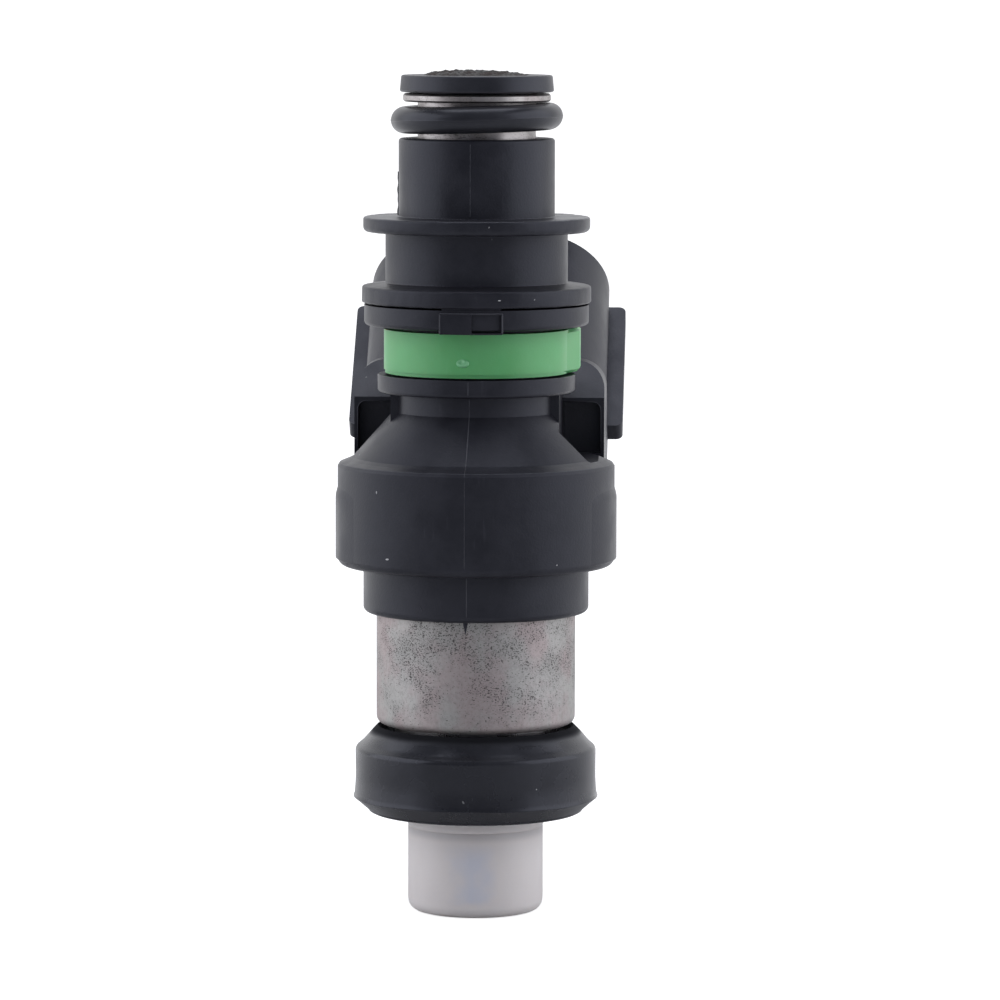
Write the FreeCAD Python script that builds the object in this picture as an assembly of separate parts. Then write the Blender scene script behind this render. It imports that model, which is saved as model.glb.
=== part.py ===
import FreeCAD, Part
import math
import os

os.makedirs("parts", exist_ok=True)

# Top-feed petrol injector. Millimetres. The Z axis is the injector's axis, +Z points to
# the fuel rail, +Y to the side of the electrical connector. Z = 0 is the middle of the
# manifold seal's cylindrical wall.

CENTRE = FreeCAD.Vector(0, 0, 0)
UP = FreeCAD.Vector(0, 0, 1)
ALONG_X = FreeCAD.Vector(1, 0, 0)
ALONG_Y = FreeCAD.Vector(0, 1, 0)

# clearances
PRESS_GAP = 0.02
MOULD_GAP = 0.01
WELD_GAP = 0.005
GUIDE_GAP = 0.05
BALL_GAP = 0.04
CAP_GAP = 0.05
MESH_GAP = 0.05
SPOOL_GAP = 0.05
SPOOL_RIM_GAP = 0.14
TONGUE_GAP = 0.06
LUG_GAP = 0.3
CORE_GAP = 0.12

# heights of the outer steps, from the nozzle up to the strainer
CAP_BELOW_TIP = 2.36
NOZZLE_OUT = 6.135
SEAL_BOTTOM_H = 1.38
SEAL_WALL_H = 4.17
SEAL_TOP_H = 1.93
SEAL_TO_HOUSING = 0.09
HOUSING_SHOWN_H = 9.55
SLEEVE_H = 3.98
BARREL_H = 8.69
SHOULDER_H = 0.51
CONE_H = 3.83
NECK_3_H = 1.66
COLLAR_H = 1.48
RING_SLOT_H = 4.2
LOWER_FLANGE_H = 1.73
BODY_JOINT_H = 0.17
UPPER_FLANGE_H = 1.4
UPPER_FLANGE_SLOPE_H = 0.29
CLIP_SLOT_H = 4.27
CLIP_FLANGE_H = 1.26
NECK_1_H = 6.62
O_RING_SLOT_H = 3.07
TUBE_FLANGE_H = 0.68
FILTER_HUB_H = 0.13
FILTER_DISC_H = 1.41
STRAINER_H = 0.4

# walls and steps outwards from the inlet tube
TUBE_R = 4.99
TUBE_WALL = 0.59
TUBE_FLANGE_STEP = 1.245
FILTER_DISC_STEP = 0.275
FILTER_DISC_TAPER = 0.13
FILTER_HUB_STEP = 0.28
FILTER_WALL = 0.63
FILTER_SHANK_L = 10.5
O_RING_SECTION_R = 1.15
O_RING_RISE = 1.685
NECK_1_WALL = 1.6
NECK_2_WALL = 2.71
CLIP_FLANGE_STEP = 1.88
UPPER_FLANGE_STEP = 1.99
LOWER_FLANGE_INSET = 0.2
SPIGOT_WALL = 1.01
SPIGOT_DROP = 1.01
RING_SEAT_WALL = 0.6
RING_WALL = 1.22
NECK_3_STEP = 0.43
COLLAR_STEP = 1.76

# magnet and valve
TUBE_BELOW_NECK = 0.59
CORE_STEP = 0.38
CORE_BORE_R = 1.75
CORE_IN_TUBE = 5.0
CORE_ABOVE_GUIDE = 3.0
GUIDE_WALL = 1.1
GUIDE_BELOW_COIL = 0.225
COIL_ROOM = 2.44
HOUSING_WALL = 0.9
HOUSING_FLOOR = 1.4
HOUSING_TOP_DROP = 1.28
SLEEVE_WALL = 1.12
BARREL_WALL = 3.3
WASHER_THICK = 1.25
WASHER_DROP = 0.05
BOBBIN_H = 9.5
BOBBIN_FLANGE = 0.8
BOBBIN_WALL = 0.6
WINDING_DEPTH_LEFT = 0.15
TOWER_WALL = 0.45
MAGNETIC_BREAK_H = 4.5
ARMATURE_H = 7.38
SPRING_WIRE = 0.35
SPRING_ROOM = 0.355
SPRING_POCKET = 0.88
SPRING_L = 6.0
SPRING_TURNS = 9
ADJUSTER_L = 8.0
ADJUSTER_WALL = 0.78
NEEDLE_R = 1.2
NEEDLE_BORE_R = 0.75
NEEDLE_PRESS_L = 2.9
BALL_R = 1.5
NOZZLE_R = 4.6
NOZZLE_WALL = 2.0
NOZZLE_RECESS = 1.1
SEAT_HOLE_R = 0.6
SEAT_HOLE_L = 0.62
SEAT_OVER_BALL = 0.1
PLATE_THICK = 0.28
METERING_HOLE_R = 0.13
METERING_CIRCLE_R = 0.34

# manifold seal and transit cap
SEAL_R = 10.26
SEAL_WALL = 3.36
SEAL_TOP_TAPER = 2.26
SEAL_BOTTOM_TAPER = 1.39
SEAL_SEAT_DROP = 0.315
CAP_RIB_H = 0.35
CAP_RIB_W = 0.6
CAP_RIBS = 6
CAP_WALL = 0.83
CAP_FLOOR = 1.1
CAP_RIM_H = 0.95
CAP_RIM_STEP = 0.03
CAP_TAPER = 0.05
CAP_TO_SEAL = 0.12

# connector
PLUG_TILT_DEG = 40.0
MOUTH_REACH = 14.76
MOUTH_RISE = 13.005
SHROUD_HALF_W = 10.57
SHROUD_HALF_H = 7.0
SHROUD_WALL = 1.5
SHROUD_LENGTH = 26.0
SOCKET_DEPTH = 12.0
LEAD_IN = 0.35
BLADE_W = 2.3
BLADE_THICK = 0.64
BLADE_PITCH = 5.0
BLADE_OUT = 7.0
FOOT_W = 1.2
KNEE_RISE = 0.4
WING_STEP = 1.43
WING_TOP = -2.0
WING_THICK = 1.7
WING_LENGTH = 15.0
WING_SETBACK = 0.05
CATCH_HALF_W = 2.6
CATCH_H = 1.5
CATCH_START = 1.6
CATCH_RAMP = 3.0
CATCH_LAND = 0.8

# hood between the connector and the neck, and the pockets in it
HOOD_STEP = 0.13
HOOD_FRONT_Y = 4.9
HOOD_BACK_Y = 19.0
HOOD_RISE = 0.59
HOOD_DROP = 1.83
HOOD_CORNER_R = 2.4
HOOD_LIP = 0.35
POCKET_STEP = 0.07
POCKET_SIDE_WALL = 0.3
POCKET_RISE = 0.43
POCKET_FLOOR_RISE = 0.37
POCKET_BACK_Y = 7.0
POCKET_CORNER_R = 0.7
RIGHT_POCKET_FRONT_Y = -4.2
LEFT_POCKET_FRONT_Y = 0.0
SIDE_PLATE_FRONT_Y = -2.9
SIDE_PLATE_DROP = 2.0

# colour ring, snap tongue with its boss, and pads on the barrel
RING_LOW_GAP = 0.17
RING_HIGH_GAP = 0.34
RING_STEP = 0.1
RING_STEP_H = 0.3
RING_END_GAP = 0.3
LUG_FRONT_DEG = 20.4
LUG_FRONT_INSET = 0.085
LUG_STEP = 0.86
LUG_FACET_Y = 1.6
LUG_CHAMFER = 0.25
TONGUE_W = 4.7
TONGUE_INSET = 0.54
TONGUE_THICK = 0.9
TONGUE_RISE = 0.24
BOSS_W = 5.2
BOSS_PROUD = 0.18
BOSS_DROP = 0.25
BOSS_TOP_DROP = 0.22
BOSS_WALL = 0.12
PAD_RISE = 0.66
PAD_H = 5.05
PAD_PROUD = 0.17
PAD_INSET = 0.14

# radii that follow
TUBE_BORE_R = TUBE_R - TUBE_WALL
CORE_R = TUBE_BORE_R - PRESS_GAP
TUBE_FLANGE_R = TUBE_R + TUBE_FLANGE_STEP
FILTER_DISC_R = TUBE_FLANGE_R + FILTER_DISC_STEP
FILTER_DISC_TOP_R = FILTER_DISC_R - FILTER_DISC_TAPER
FILTER_HUB_R = TUBE_R - FILTER_HUB_STEP
FILTER_SHANK_R = TUBE_BORE_R - PRESS_GAP
FILTER_MOUTH_R = FILTER_SHANK_R - FILTER_WALL
NECK_1_R = TUBE_R + NECK_1_WALL
NECK_2_R = TUBE_R + NECK_2_WALL
CLIP_FLANGE_R = NECK_2_R + CLIP_FLANGE_STEP
UPPER_FLANGE_R = NECK_2_R + UPPER_FLANGE_STEP
LOWER_FLANGE_R = UPPER_FLANGE_R - LOWER_FLANGE_INSET
SPIGOT_R = TUBE_R + SPIGOT_WALL
RING_SEAT_R = SPIGOT_R + RING_SEAT_WALL
RING_R = RING_SEAT_R + RING_WALL
NECK_3_R = RING_SEAT_R + NECK_3_STEP
COLLAR_R = RING_SEAT_R + COLLAR_STEP
GUIDE_R = CORE_R - CORE_STEP
GUIDE_OUTER_R = GUIDE_R + GUIDE_WALL
HOUSING_BORE_R = GUIDE_OUTER_R + COIL_ROOM
HOUSING_R = HOUSING_BORE_R + HOUSING_WALL
SLEEVE_R = HOUSING_R + SLEEVE_WALL
BARREL_R = HOUSING_R + BARREL_WALL
BOBBIN_BORE_R = GUIDE_OUTER_R + SPOOL_GAP
BOBBIN_R = HOUSING_BORE_R - SPOOL_RIM_GAP
SPRING_COIL_R = CORE_BORE_R - SPRING_WIRE / 2 - SPRING_ROOM
NOZZLE_BORE_R = NOZZLE_R - NOZZLE_WALL
SEAL_SEAT_R = SEAL_R - SEAL_WALL
CAP_BORE_R = NOZZLE_R + CAP_RIB_H
CAP_R = CAP_BORE_R + CAP_WALL
TONGUE_OUTER_R = LOWER_FLANGE_R - TONGUE_INSET
HOOD_HALF_W = SHROUD_HALF_W + HOOD_STEP
WING_HALF_W = SHROUD_HALF_W + WING_STEP
POCKET_X = NECK_3_R + POCKET_STEP

# levels that follow
SEAL_WALL_LOW_Z = -SEAL_WALL_H / 2
SEAL_WALL_HIGH_Z = SEAL_WALL_H / 2
SEAL_BOTTOM_Z = SEAL_WALL_LOW_Z - SEAL_BOTTOM_H
SEAL_TOP_Z = SEAL_WALL_HIGH_Z + SEAL_TOP_H
SEAL_SEAT_BOTTOM_Z = SEAL_WALL_LOW_Z - SEAL_SEAT_DROP
NOZZLE_TIP_Z = SEAL_BOTTOM_Z - NOZZLE_OUT
CAP_BOTTOM_Z = NOZZLE_TIP_Z - CAP_BELOW_TIP
HOUSING_BOTTOM_Z = SEAL_TOP_Z + SEAL_TO_HOUSING
SLEEVE_BOTTOM_Z = HOUSING_BOTTOM_Z + HOUSING_SHOWN_H
BARREL_BOTTOM_Z = SLEEVE_BOTTOM_Z + SLEEVE_H
BARREL_TOP_Z = BARREL_BOTTOM_Z + BARREL_H
SHOULDER_Z = BARREL_TOP_Z + SHOULDER_H
NECK_3_BOTTOM_Z = SHOULDER_Z + CONE_H
COLLAR_BOTTOM_Z = NECK_3_BOTTOM_Z + NECK_3_H
COLLAR_TOP_Z = COLLAR_BOTTOM_Z + COLLAR_H
LOWER_FLANGE_BOTTOM_Z = COLLAR_TOP_Z + RING_SLOT_H
LOWER_FLANGE_TOP_Z = LOWER_FLANGE_BOTTOM_Z + LOWER_FLANGE_H
UPPER_BODY_BOTTOM_Z = LOWER_FLANGE_TOP_Z + BODY_JOINT_H
UPPER_FLANGE_EDGE_Z = UPPER_BODY_BOTTOM_Z + UPPER_FLANGE_H
UPPER_FLANGE_TOP_Z = UPPER_FLANGE_EDGE_Z + UPPER_FLANGE_SLOPE_H
CLIP_FLANGE_BOTTOM_Z = UPPER_FLANGE_TOP_Z + CLIP_SLOT_H
CLIP_FLANGE_TOP_Z = CLIP_FLANGE_BOTTOM_Z + CLIP_FLANGE_H
UPPER_BODY_TOP_Z = CLIP_FLANGE_TOP_Z + NECK_1_H
TUBE_FLANGE_BOTTOM_Z = UPPER_BODY_TOP_Z + O_RING_SLOT_H
TUBE_FLANGE_TOP_Z = TUBE_FLANGE_BOTTOM_Z + TUBE_FLANGE_H
FILTER_DISC_BOTTOM_Z = TUBE_FLANGE_TOP_Z + FILTER_HUB_H
FILTER_DISC_TOP_Z = FILTER_DISC_BOTTOM_Z + FILTER_DISC_H
FILTER_SHANK_Z = TUBE_FLANGE_TOP_Z - FILTER_SHANK_L
SPIGOT_BOTTOM_Z = LOWER_FLANGE_BOTTOM_Z - SPIGOT_DROP
TUBE_BOTTOM_Z = NECK_3_BOTTOM_Z - TUBE_BELOW_NECK
CORE_TOP_Z = TUBE_BOTTOM_Z + CORE_IN_TUBE
HOUSING_TOP_Z = BARREL_TOP_Z - HOUSING_TOP_DROP
WASHER_TOP_Z = HOUSING_TOP_Z - WASHER_DROP
WASHER_BOTTOM_Z = WASHER_TOP_Z - WASHER_THICK
BOBBIN_TOP_Z = WASHER_BOTTOM_Z - SPOOL_GAP
BOBBIN_BOTTOM_Z = BOBBIN_TOP_Z - BOBBIN_H
GUIDE_TOP_Z = BOBBIN_BOTTOM_Z - GUIDE_BELOW_COIL
CORE_BOTTOM_Z = GUIDE_TOP_Z + CORE_ABOVE_GUIDE
ARMATURE_TOP_Z = CORE_BOTTOM_Z - CORE_GAP
ARMATURE_BOTTOM_Z = ARMATURE_TOP_Z - ARMATURE_H
SPRING_SEAT_Z = ARMATURE_TOP_Z - SPRING_POCKET
SPRING_TOP_Z = SPRING_SEAT_Z + SPRING_L
NEEDLE_TOP_Z = ARMATURE_BOTTOM_Z + NEEDLE_PRESS_L
SEAT_BOTTOM_Z = NOZZLE_TIP_Z + NOZZLE_RECESS
SEAT_CONE_TIP_Z = SEAT_BOTTOM_Z + SEAT_HOLE_L - SEAT_HOLE_R
BALL_Z = SEAT_CONE_TIP_Z + (BALL_R + BALL_GAP) * math.sqrt(2)
SEAT_TOP_Z = BALL_Z + BALL_R - SEAT_OVER_BALL
RING_LOW_Z = COLLAR_TOP_Z + RING_LOW_GAP
RING_HIGH_Z = LOWER_FLANGE_BOTTOM_Z - RING_HIGH_GAP
BOSS_LOW_Z = LOWER_FLANGE_BOTTOM_Z - BOSS_DROP
BOSS_HIGH_Z = LOWER_FLANGE_TOP_Z - BOSS_TOP_DROP
HOOD_ROOF_Z = COLLAR_TOP_Z + HOOD_RISE
POCKET_TOP_Z = NECK_3_BOTTOM_Z + POCKET_RISE
MOUTH_Y = BARREL_R + MOUTH_REACH
MOUTH_Z = BARREL_TOP_Z + MOUTH_RISE
FOOT_Y = BOBBIN_BORE_R + TOWER_WALL
TOWER_HALF_W = (BLADE_PITCH + FOOT_W) / 2 + TOWER_WALL


def ring_solid(points):
    """Solid turned round the axis from (radius, height) points."""
    corners = [FreeCAD.Vector(r, 0, z) for r, z in points]
    corners.append(corners[0])
    face = Part.Face(Part.makePolygon(corners))
    return face.revolve(CENTRE, UP, 360)


def tube_solid(outer_r, inner_r, low_z, high_z):
    height = high_z - low_z
    base = FreeCAD.Vector(0, 0, low_z)
    outer = Part.makeCylinder(outer_r, height, base)
    if inner_r <= 0:
        return outer
    return outer.cut(Part.makeCylinder(inner_r, height, base))


def block(low_x, high_x, low_y, high_y, low_z, high_z):
    corner = FreeCAD.Vector(low_x, low_y, low_z)
    return Part.makeBox(high_x - low_x, high_y - low_y, high_z - low_z, corner)


def turned_copies(solid, angles):
    """Copies of a solid turned about the axis."""
    copies = []
    for angle in angles:
        copy = solid.copy()
        copy.rotate(CENTRE, UP, angle)
        copies.append(copy)
    return copies


def round_rims(solid, radius, level, rim_r):
    """Round the full circular edges of one radius at one level."""
    edges = []
    for edge in solid.Edges:
        if not isinstance(edge.Curve, Part.Circle):
            continue
        same_level = abs(edge.Curve.Center.z - level) < 0.001
        if same_level and abs(edge.Curve.Radius - rim_r) < 0.001:
            edges.append(edge)
    return solid.makeFillet(radius, edges)


def round_along(solid, radius, direction, wanted):
    """Round the straight edges that run in a direction, where wanted(middle) is true."""
    edges = []
    for edge in solid.Edges:
        if not isinstance(edge.Curve, Part.Line):
            continue
        start = edge.Vertexes[0].Point
        run = edge.Vertexes[-1].Point.sub(start)
        if run.Length < 0.01:
            continue
        across = run.cross(direction).Length / run.Length
        middle = start.add(run.multiply(0.5))
        if across < 0.01 and wanted(middle):
            edges.append(edge)
    return solid.makeFillet(radius, edges)


def plug_place(solid):
    """Carry a solid from the mouth's own frame: +Z is the depth from the mouth, +Y is up."""
    turn = FreeCAD.Rotation(ALONG_X, 90 + PLUG_TILT_DEG)
    centre = FreeCAD.Vector(0, MOUTH_Y, MOUTH_Z)
    placed = solid.copy()
    placed.Placement = FreeCAD.Placement(centre, turn)
    return placed


def racetrack(half_w, half_h, length):
    """Flat-sided oval bar from the mouth back along the mating way."""
    flat = half_w - half_h
    bar = Part.makeBox(2 * flat, 2 * half_h, length, FreeCAD.Vector(-flat, -half_h, 0))
    for side in (-1, 1):
        bar = bar.fuse(Part.makeCylinder(half_h, length, FreeCAD.Vector(side * flat, 0, 0)))
    return bar.removeSplitter()


# ---------------------------------------------------------------- inlet end

def filter_frame():
    """Disc on top of the tube, with a slotted shank pressed into the bore."""
    rim_round = 0.18
    slot_half_w = 1.1
    foot_ring_h = 1.2
    top_ring_h = 2.2
    frame = ring_solid([
        (FILTER_MOUTH_R, FILTER_DISC_TOP_Z),
        (FILTER_DISC_TOP_R, FILTER_DISC_TOP_Z),
        (FILTER_DISC_R, FILTER_DISC_BOTTOM_Z),
        (FILTER_HUB_R, FILTER_DISC_BOTTOM_Z),
        (FILTER_HUB_R, TUBE_FLANGE_TOP_Z + PRESS_GAP),
        (FILTER_SHANK_R, TUBE_FLANGE_TOP_Z + PRESS_GAP),
        (FILTER_SHANK_R, FILTER_SHANK_Z),
        (FILTER_MOUTH_R, FILTER_SHANK_Z),
    ])
    frame = round_rims(frame, rim_round, FILTER_DISC_TOP_Z, FILTER_DISC_TOP_R)
    frame = round_rims(frame, rim_round, FILTER_DISC_BOTTOM_Z, FILTER_DISC_R)
    slot_low = FILTER_SHANK_Z + foot_ring_h
    slot_high = TUBE_FLANGE_BOTTOM_Z - top_ring_h
    slot = block(-slot_half_w, slot_half_w, -FILTER_DISC_R, FILTER_DISC_R, slot_low, slot_high)
    return frame.cut(turned_copies(slot, (45, 135)))


def filter_mesh():
    """Woven basket as a thin shell with a domed lid that stands above the frame."""
    skirt_r = FILTER_MOUTH_R - MESH_GAP
    wall = 0.2
    brim = 0.55
    low = FILTER_SHANK_Z + wall
    brim_z = FILTER_DISC_TOP_Z + PRESS_GAP
    lid = FILTER_DISC_TOP_Z + STRAINER_H
    return ring_solid([
        (0, lid),
        (0.6 * skirt_r, lid - 0.1 * STRAINER_H),
        (skirt_r, lid - 0.45 * STRAINER_H),
        (FILTER_MOUTH_R + brim, brim_z),
        (skirt_r, brim_z),
        (skirt_r, low),
        (0, low),
        (0, low + wall),
        (skirt_r - wall, low + wall),
        (skirt_r - wall, brim_z - PRESS_GAP),
        (0, lid - STRAINER_H / 2),
    ])


def inlet_tube():
    lip = 0.15
    return ring_solid([
        (TUBE_BORE_R, TUBE_BOTTOM_Z),
        (TUBE_R, TUBE_BOTTOM_Z),
        (TUBE_R, TUBE_FLANGE_BOTTOM_Z),
        (TUBE_FLANGE_R - lip, TUBE_FLANGE_BOTTOM_Z),
        (TUBE_FLANGE_R, TUBE_FLANGE_BOTTOM_Z + lip),
        (TUBE_FLANGE_R, TUBE_FLANGE_TOP_Z - lip),
        (TUBE_FLANGE_R - lip, TUBE_FLANGE_TOP_Z),
        (TUBE_BORE_R, TUBE_FLANGE_TOP_Z),
    ])


def upper_o_ring():
    middle_r = TUBE_R + MOULD_GAP + O_RING_SECTION_R
    middle = FreeCAD.Vector(0, 0, UPPER_BODY_TOP_Z + O_RING_RISE)
    return Part.makeTorus(middle_r, O_RING_SECTION_R, middle)


# ---------------------------------------------------------------- upper plastic body

def upper_overmould():
    """Neck with the clip groove, moulded round the inlet tube."""
    bore_r = TUBE_R + MOULD_GAP
    lower_edge = 0.1
    body = ring_solid([
        (bore_r, SPIGOT_BOTTOM_Z),
        (SPIGOT_R, SPIGOT_BOTTOM_Z),
        (SPIGOT_R, UPPER_BODY_BOTTOM_Z),
        (UPPER_FLANGE_R - lower_edge, UPPER_BODY_BOTTOM_Z),
        (UPPER_FLANGE_R, UPPER_BODY_BOTTOM_Z + lower_edge),
        (UPPER_FLANGE_R, UPPER_FLANGE_EDGE_Z),
        (NECK_2_R, UPPER_FLANGE_TOP_Z),
        (NECK_2_R, CLIP_FLANGE_BOTTOM_Z),
        (CLIP_FLANGE_R, CLIP_FLANGE_BOTTOM_Z),
        (CLIP_FLANGE_R, CLIP_FLANGE_TOP_Z),
        (NECK_1_R, CLIP_FLANGE_TOP_Z),
        (NECK_1_R, UPPER_BODY_TOP_Z),
        (bore_r, UPPER_BODY_TOP_Z),
    ])
    small_round = 0.15
    body = round_rims(body, 0.2, CLIP_FLANGE_TOP_Z, CLIP_FLANGE_R)
    body = round_rims(body, 0.3, CLIP_FLANGE_BOTTOM_Z, CLIP_FLANGE_R)
    body = round_rims(body, small_round, UPPER_FLANGE_EDGE_Z, UPPER_FLANGE_R)
    body = round_rims(body, small_round, UPPER_BODY_TOP_Z, NECK_1_R)
    return body.fuse(snap_tongue(0)).removeSplitter()


def snap_tongue(gap):
    """Tongue at the front that reaches down into the main body's flange."""
    low = LOWER_FLANGE_BOTTOM_Z + TONGUE_RISE - gap
    high = UPPER_BODY_BOTTOM_Z + BODY_JOINT_H
    inner_r = TONGUE_OUTER_R - TONGUE_THICK - gap
    sector = tube_solid(TONGUE_OUTER_R + gap, inner_r, low, high)
    half = TONGUE_W / 2 + gap
    return sector.common(block(-half, half, -BARREL_R, 0, low, high))


# ---------------------------------------------------------------- main plastic body

def barrel_skin():
    """Outer steps of the main body, up to the flange under the upper body."""
    rim_step = 0.17
    rim_drop = 0.25
    edge_run = 0.45
    edge_rise = 0.28
    shoulder_r = BARREL_R - 1.32
    body = ring_solid([
        (0, SLEEVE_BOTTOM_Z),
        (SLEEVE_R, SLEEVE_BOTTOM_Z),
        (SLEEVE_R, BARREL_BOTTOM_Z),
        (BARREL_R, BARREL_BOTTOM_Z),
        (BARREL_R, BARREL_TOP_Z - rim_drop),
        (BARREL_R - rim_step, BARREL_TOP_Z),
        (shoulder_r + edge_run, BARREL_TOP_Z + edge_rise),
        (shoulder_r, SHOULDER_Z),
        (NECK_3_R, NECK_3_BOTTOM_Z),
        (NECK_3_R, COLLAR_BOTTOM_Z),
        (COLLAR_R, COLLAR_BOTTOM_Z),
        (COLLAR_R, COLLAR_TOP_Z),
        (RING_SEAT_R, COLLAR_TOP_Z),
        (RING_SEAT_R, LOWER_FLANGE_BOTTOM_Z),
        (LOWER_FLANGE_R, LOWER_FLANGE_BOTTOM_Z),
        (LOWER_FLANGE_R, LOWER_FLANGE_TOP_Z),
        (0, LOWER_FLANGE_TOP_Z),
    ])
    body = round_rims(body, 0.5, SLEEVE_BOTTOM_Z, SLEEVE_R)
    body = round_rims(body, 0.7, BARREL_BOTTOM_Z, BARREL_R)
    body = round_rims(body, 0.3, COLLAR_BOTTOM_Z, COLLAR_R)
    return round_rims(body, 0.35, LOWER_FLANGE_BOTTOM_Z, LOWER_FLANGE_R)


def side_pads():
    """Two slightly raised pads on the barrel's sides."""
    low = BARREL_BOTTOM_Z + PAD_RISE
    high = low + PAD_H
    face_r = BARREL_R + PAD_PROUD
    half = BARREL_R - PAD_INSET
    pads = tube_solid(face_r, BARREL_R - 1.0, low, high)
    return pads.cut(block(-half, half, -face_r, face_r, low, high))


def catch_boss():
    """Raised block on the flange's front, over the upper body's tongue."""
    root_r = LOWER_FLANGE_R - 0.4
    sector = tube_solid(LOWER_FLANGE_R + BOSS_PROUD, root_r, BOSS_LOW_Z, BOSS_HIGH_Z)
    half = BOSS_W / 2
    return sector.common(block(-half, half, -BARREL_R, 0, BOSS_LOW_Z, BOSS_HIGH_Z))


def catch_window():
    """Opening in the boss's right half, through which the tongue's nose shows."""
    low_x = BOSS_WALL / 2
    high_x = BOSS_W / 2 - BOSS_WALL
    back_y = BOSS_WALL / 2 + TONGUE_THICK - TONGUE_OUTER_R
    low_z = BOSS_LOW_Z + BOSS_WALL
    return block(low_x, high_x, -BARREL_R, back_y, low_z, BOSS_HIGH_Z - BOSS_WALL)


def hood():
    """Block that joins the shroud to the neck. Its front slopes back as the shroud does."""
    floor_z = BARREL_TOP_Z - HOOD_DROP
    solid = block(-HOOD_HALF_W, HOOD_HALF_W, HOOD_FRONT_Y, HOOD_BACK_Y, floor_z, HOOD_ROOF_Z)
    solid = round_along(solid, HOOD_CORNER_R, ALONG_Y, lambda middle: middle.z > HOOD_ROOF_Z - 0.1)
    big = 2 * (BARREL_R + MOUTH_REACH)
    corner = FreeCAD.Vector(-big / 2, WING_TOP - WING_THICK, WING_SETBACK + WING_LENGTH)
    solid = solid.common(plug_place(Part.makeBox(big, big, big, corner)))
    tilt = math.radians(PLUG_TILT_DEG)
    lip_z = POCKET_TOP_Z + HOOD_LIP
    slope_up = (MOUTH_Y - HOOD_FRONT_Y) * math.sin(tilt) - (MOUTH_Z - lip_z) * math.cos(tilt)
    above = Part.makeBox(big, big, 2 * big, FreeCAD.Vector(-big / 2, slope_up, -big))
    solid = solid.cut(plug_place(above))
    low_z = NECK_3_BOTTOM_Z - SIDE_PLATE_DROP
    back_y = HOOD_FRONT_Y + SIDE_PLATE_DROP / 2
    plates = block(-POCKET_X, POCKET_X, SIDE_PLATE_FRONT_Y, back_y, low_z, COLLAR_BOTTOM_Z)
    return solid.fuse(plates)


def pocket(side, front_y):
    """Weight-saving recess beside the neck, open to the front."""
    outer_x = HOOD_HALF_W - POCKET_SIDE_WALL
    low_x, high_x = (POCKET_X, outer_x) if side > 0 else (-outer_x, -POCKET_X)
    floor_z = BARREL_TOP_Z + POCKET_FLOOR_RISE
    solid = block(low_x, high_x, front_y, POCKET_BACK_Y, floor_z, POCKET_TOP_Z)
    return round_along(
        solid,
        POCKET_CORNER_R,
        ALONG_Y,
        lambda middle: middle.z > POCKET_TOP_Z - 0.1 and abs(middle.x) > outer_x - 0.1,
    )


def wings():
    """Flat guide wings on both sides of the shroud."""
    corner = FreeCAD.Vector(-WING_HALF_W, WING_TOP - WING_THICK, WING_SETBACK)
    plate = Part.makeBox(2 * WING_HALF_W, WING_THICK, WING_LENGTH, corner)
    return round_along(plate, 0.6, ALONG_Y, lambda middle: True)


def plug_catch():
    """Ramp under the shroud that the plug's latch rides over."""
    root = -SHROUD_HALF_H + SHROUD_WALL / 3
    face_low = -SHROUD_HALF_H
    crest = face_low - CATCH_H
    ramp_end = CATCH_START + CATCH_RAMP
    back = ramp_end + CATCH_LAND
    outline = [
        FreeCAD.Vector(-CATCH_HALF_W, root, CATCH_START),
        FreeCAD.Vector(-CATCH_HALF_W, face_low, CATCH_START),
        FreeCAD.Vector(-CATCH_HALF_W, crest, ramp_end),
        FreeCAD.Vector(-CATCH_HALF_W, crest, back),
        FreeCAD.Vector(-CATCH_HALF_W, root, back),
    ]
    face = Part.Face(Part.makePolygon(outline + [outline[0]]))
    return face.extrude(FreeCAD.Vector(2 * CATCH_HALF_W, 0, 0))


def shroud():
    """Oval connector tube with its two guide wings and the catch under it."""
    tube = racetrack(SHROUD_HALF_W, SHROUD_HALF_H, SHROUD_LENGTH)
    return plug_place(tube.fuse([wings(), plug_catch()]))


def socket_hollow():
    """Room for the plug, with a wider lead-in at the mouth."""
    inner_w = SHROUD_HALF_W - SHROUD_WALL
    inner_h = SHROUD_HALF_H - SHROUD_WALL
    hollow = racetrack(inner_w, inner_h, SOCKET_DEPTH)
    lead_in = racetrack(inner_w + LEAD_IN, inner_h + LEAD_IN, 2 * LEAD_IN)
    return plug_place(hollow.fuse(lead_in))


def inner_envelope():
    """Room taken inside the main body by the magnet, the core, the tube and the spigot."""
    below = SLEEVE_BOTTOM_Z - 1
    above = LOWER_FLANGE_TOP_Z + 1
    return ring_solid([
        (0, below),
        (HOUSING_R + MOULD_GAP, below),
        (HOUSING_R + MOULD_GAP, HOUSING_TOP_Z + MOULD_GAP),
        (CORE_R + MOULD_GAP, HOUSING_TOP_Z + MOULD_GAP),
        (CORE_R + MOULD_GAP, TUBE_BOTTOM_Z - MOULD_GAP),
        (TUBE_R + MOULD_GAP, TUBE_BOTTOM_Z - MOULD_GAP),
        (TUBE_R + MOULD_GAP, SPIGOT_BOTTOM_Z - MOULD_GAP),
        (SPIGOT_R + MOULD_GAP, SPIGOT_BOTTOM_Z - MOULD_GAP),
        (SPIGOT_R + MOULD_GAP, above),
        (0, above),
    ])


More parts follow.
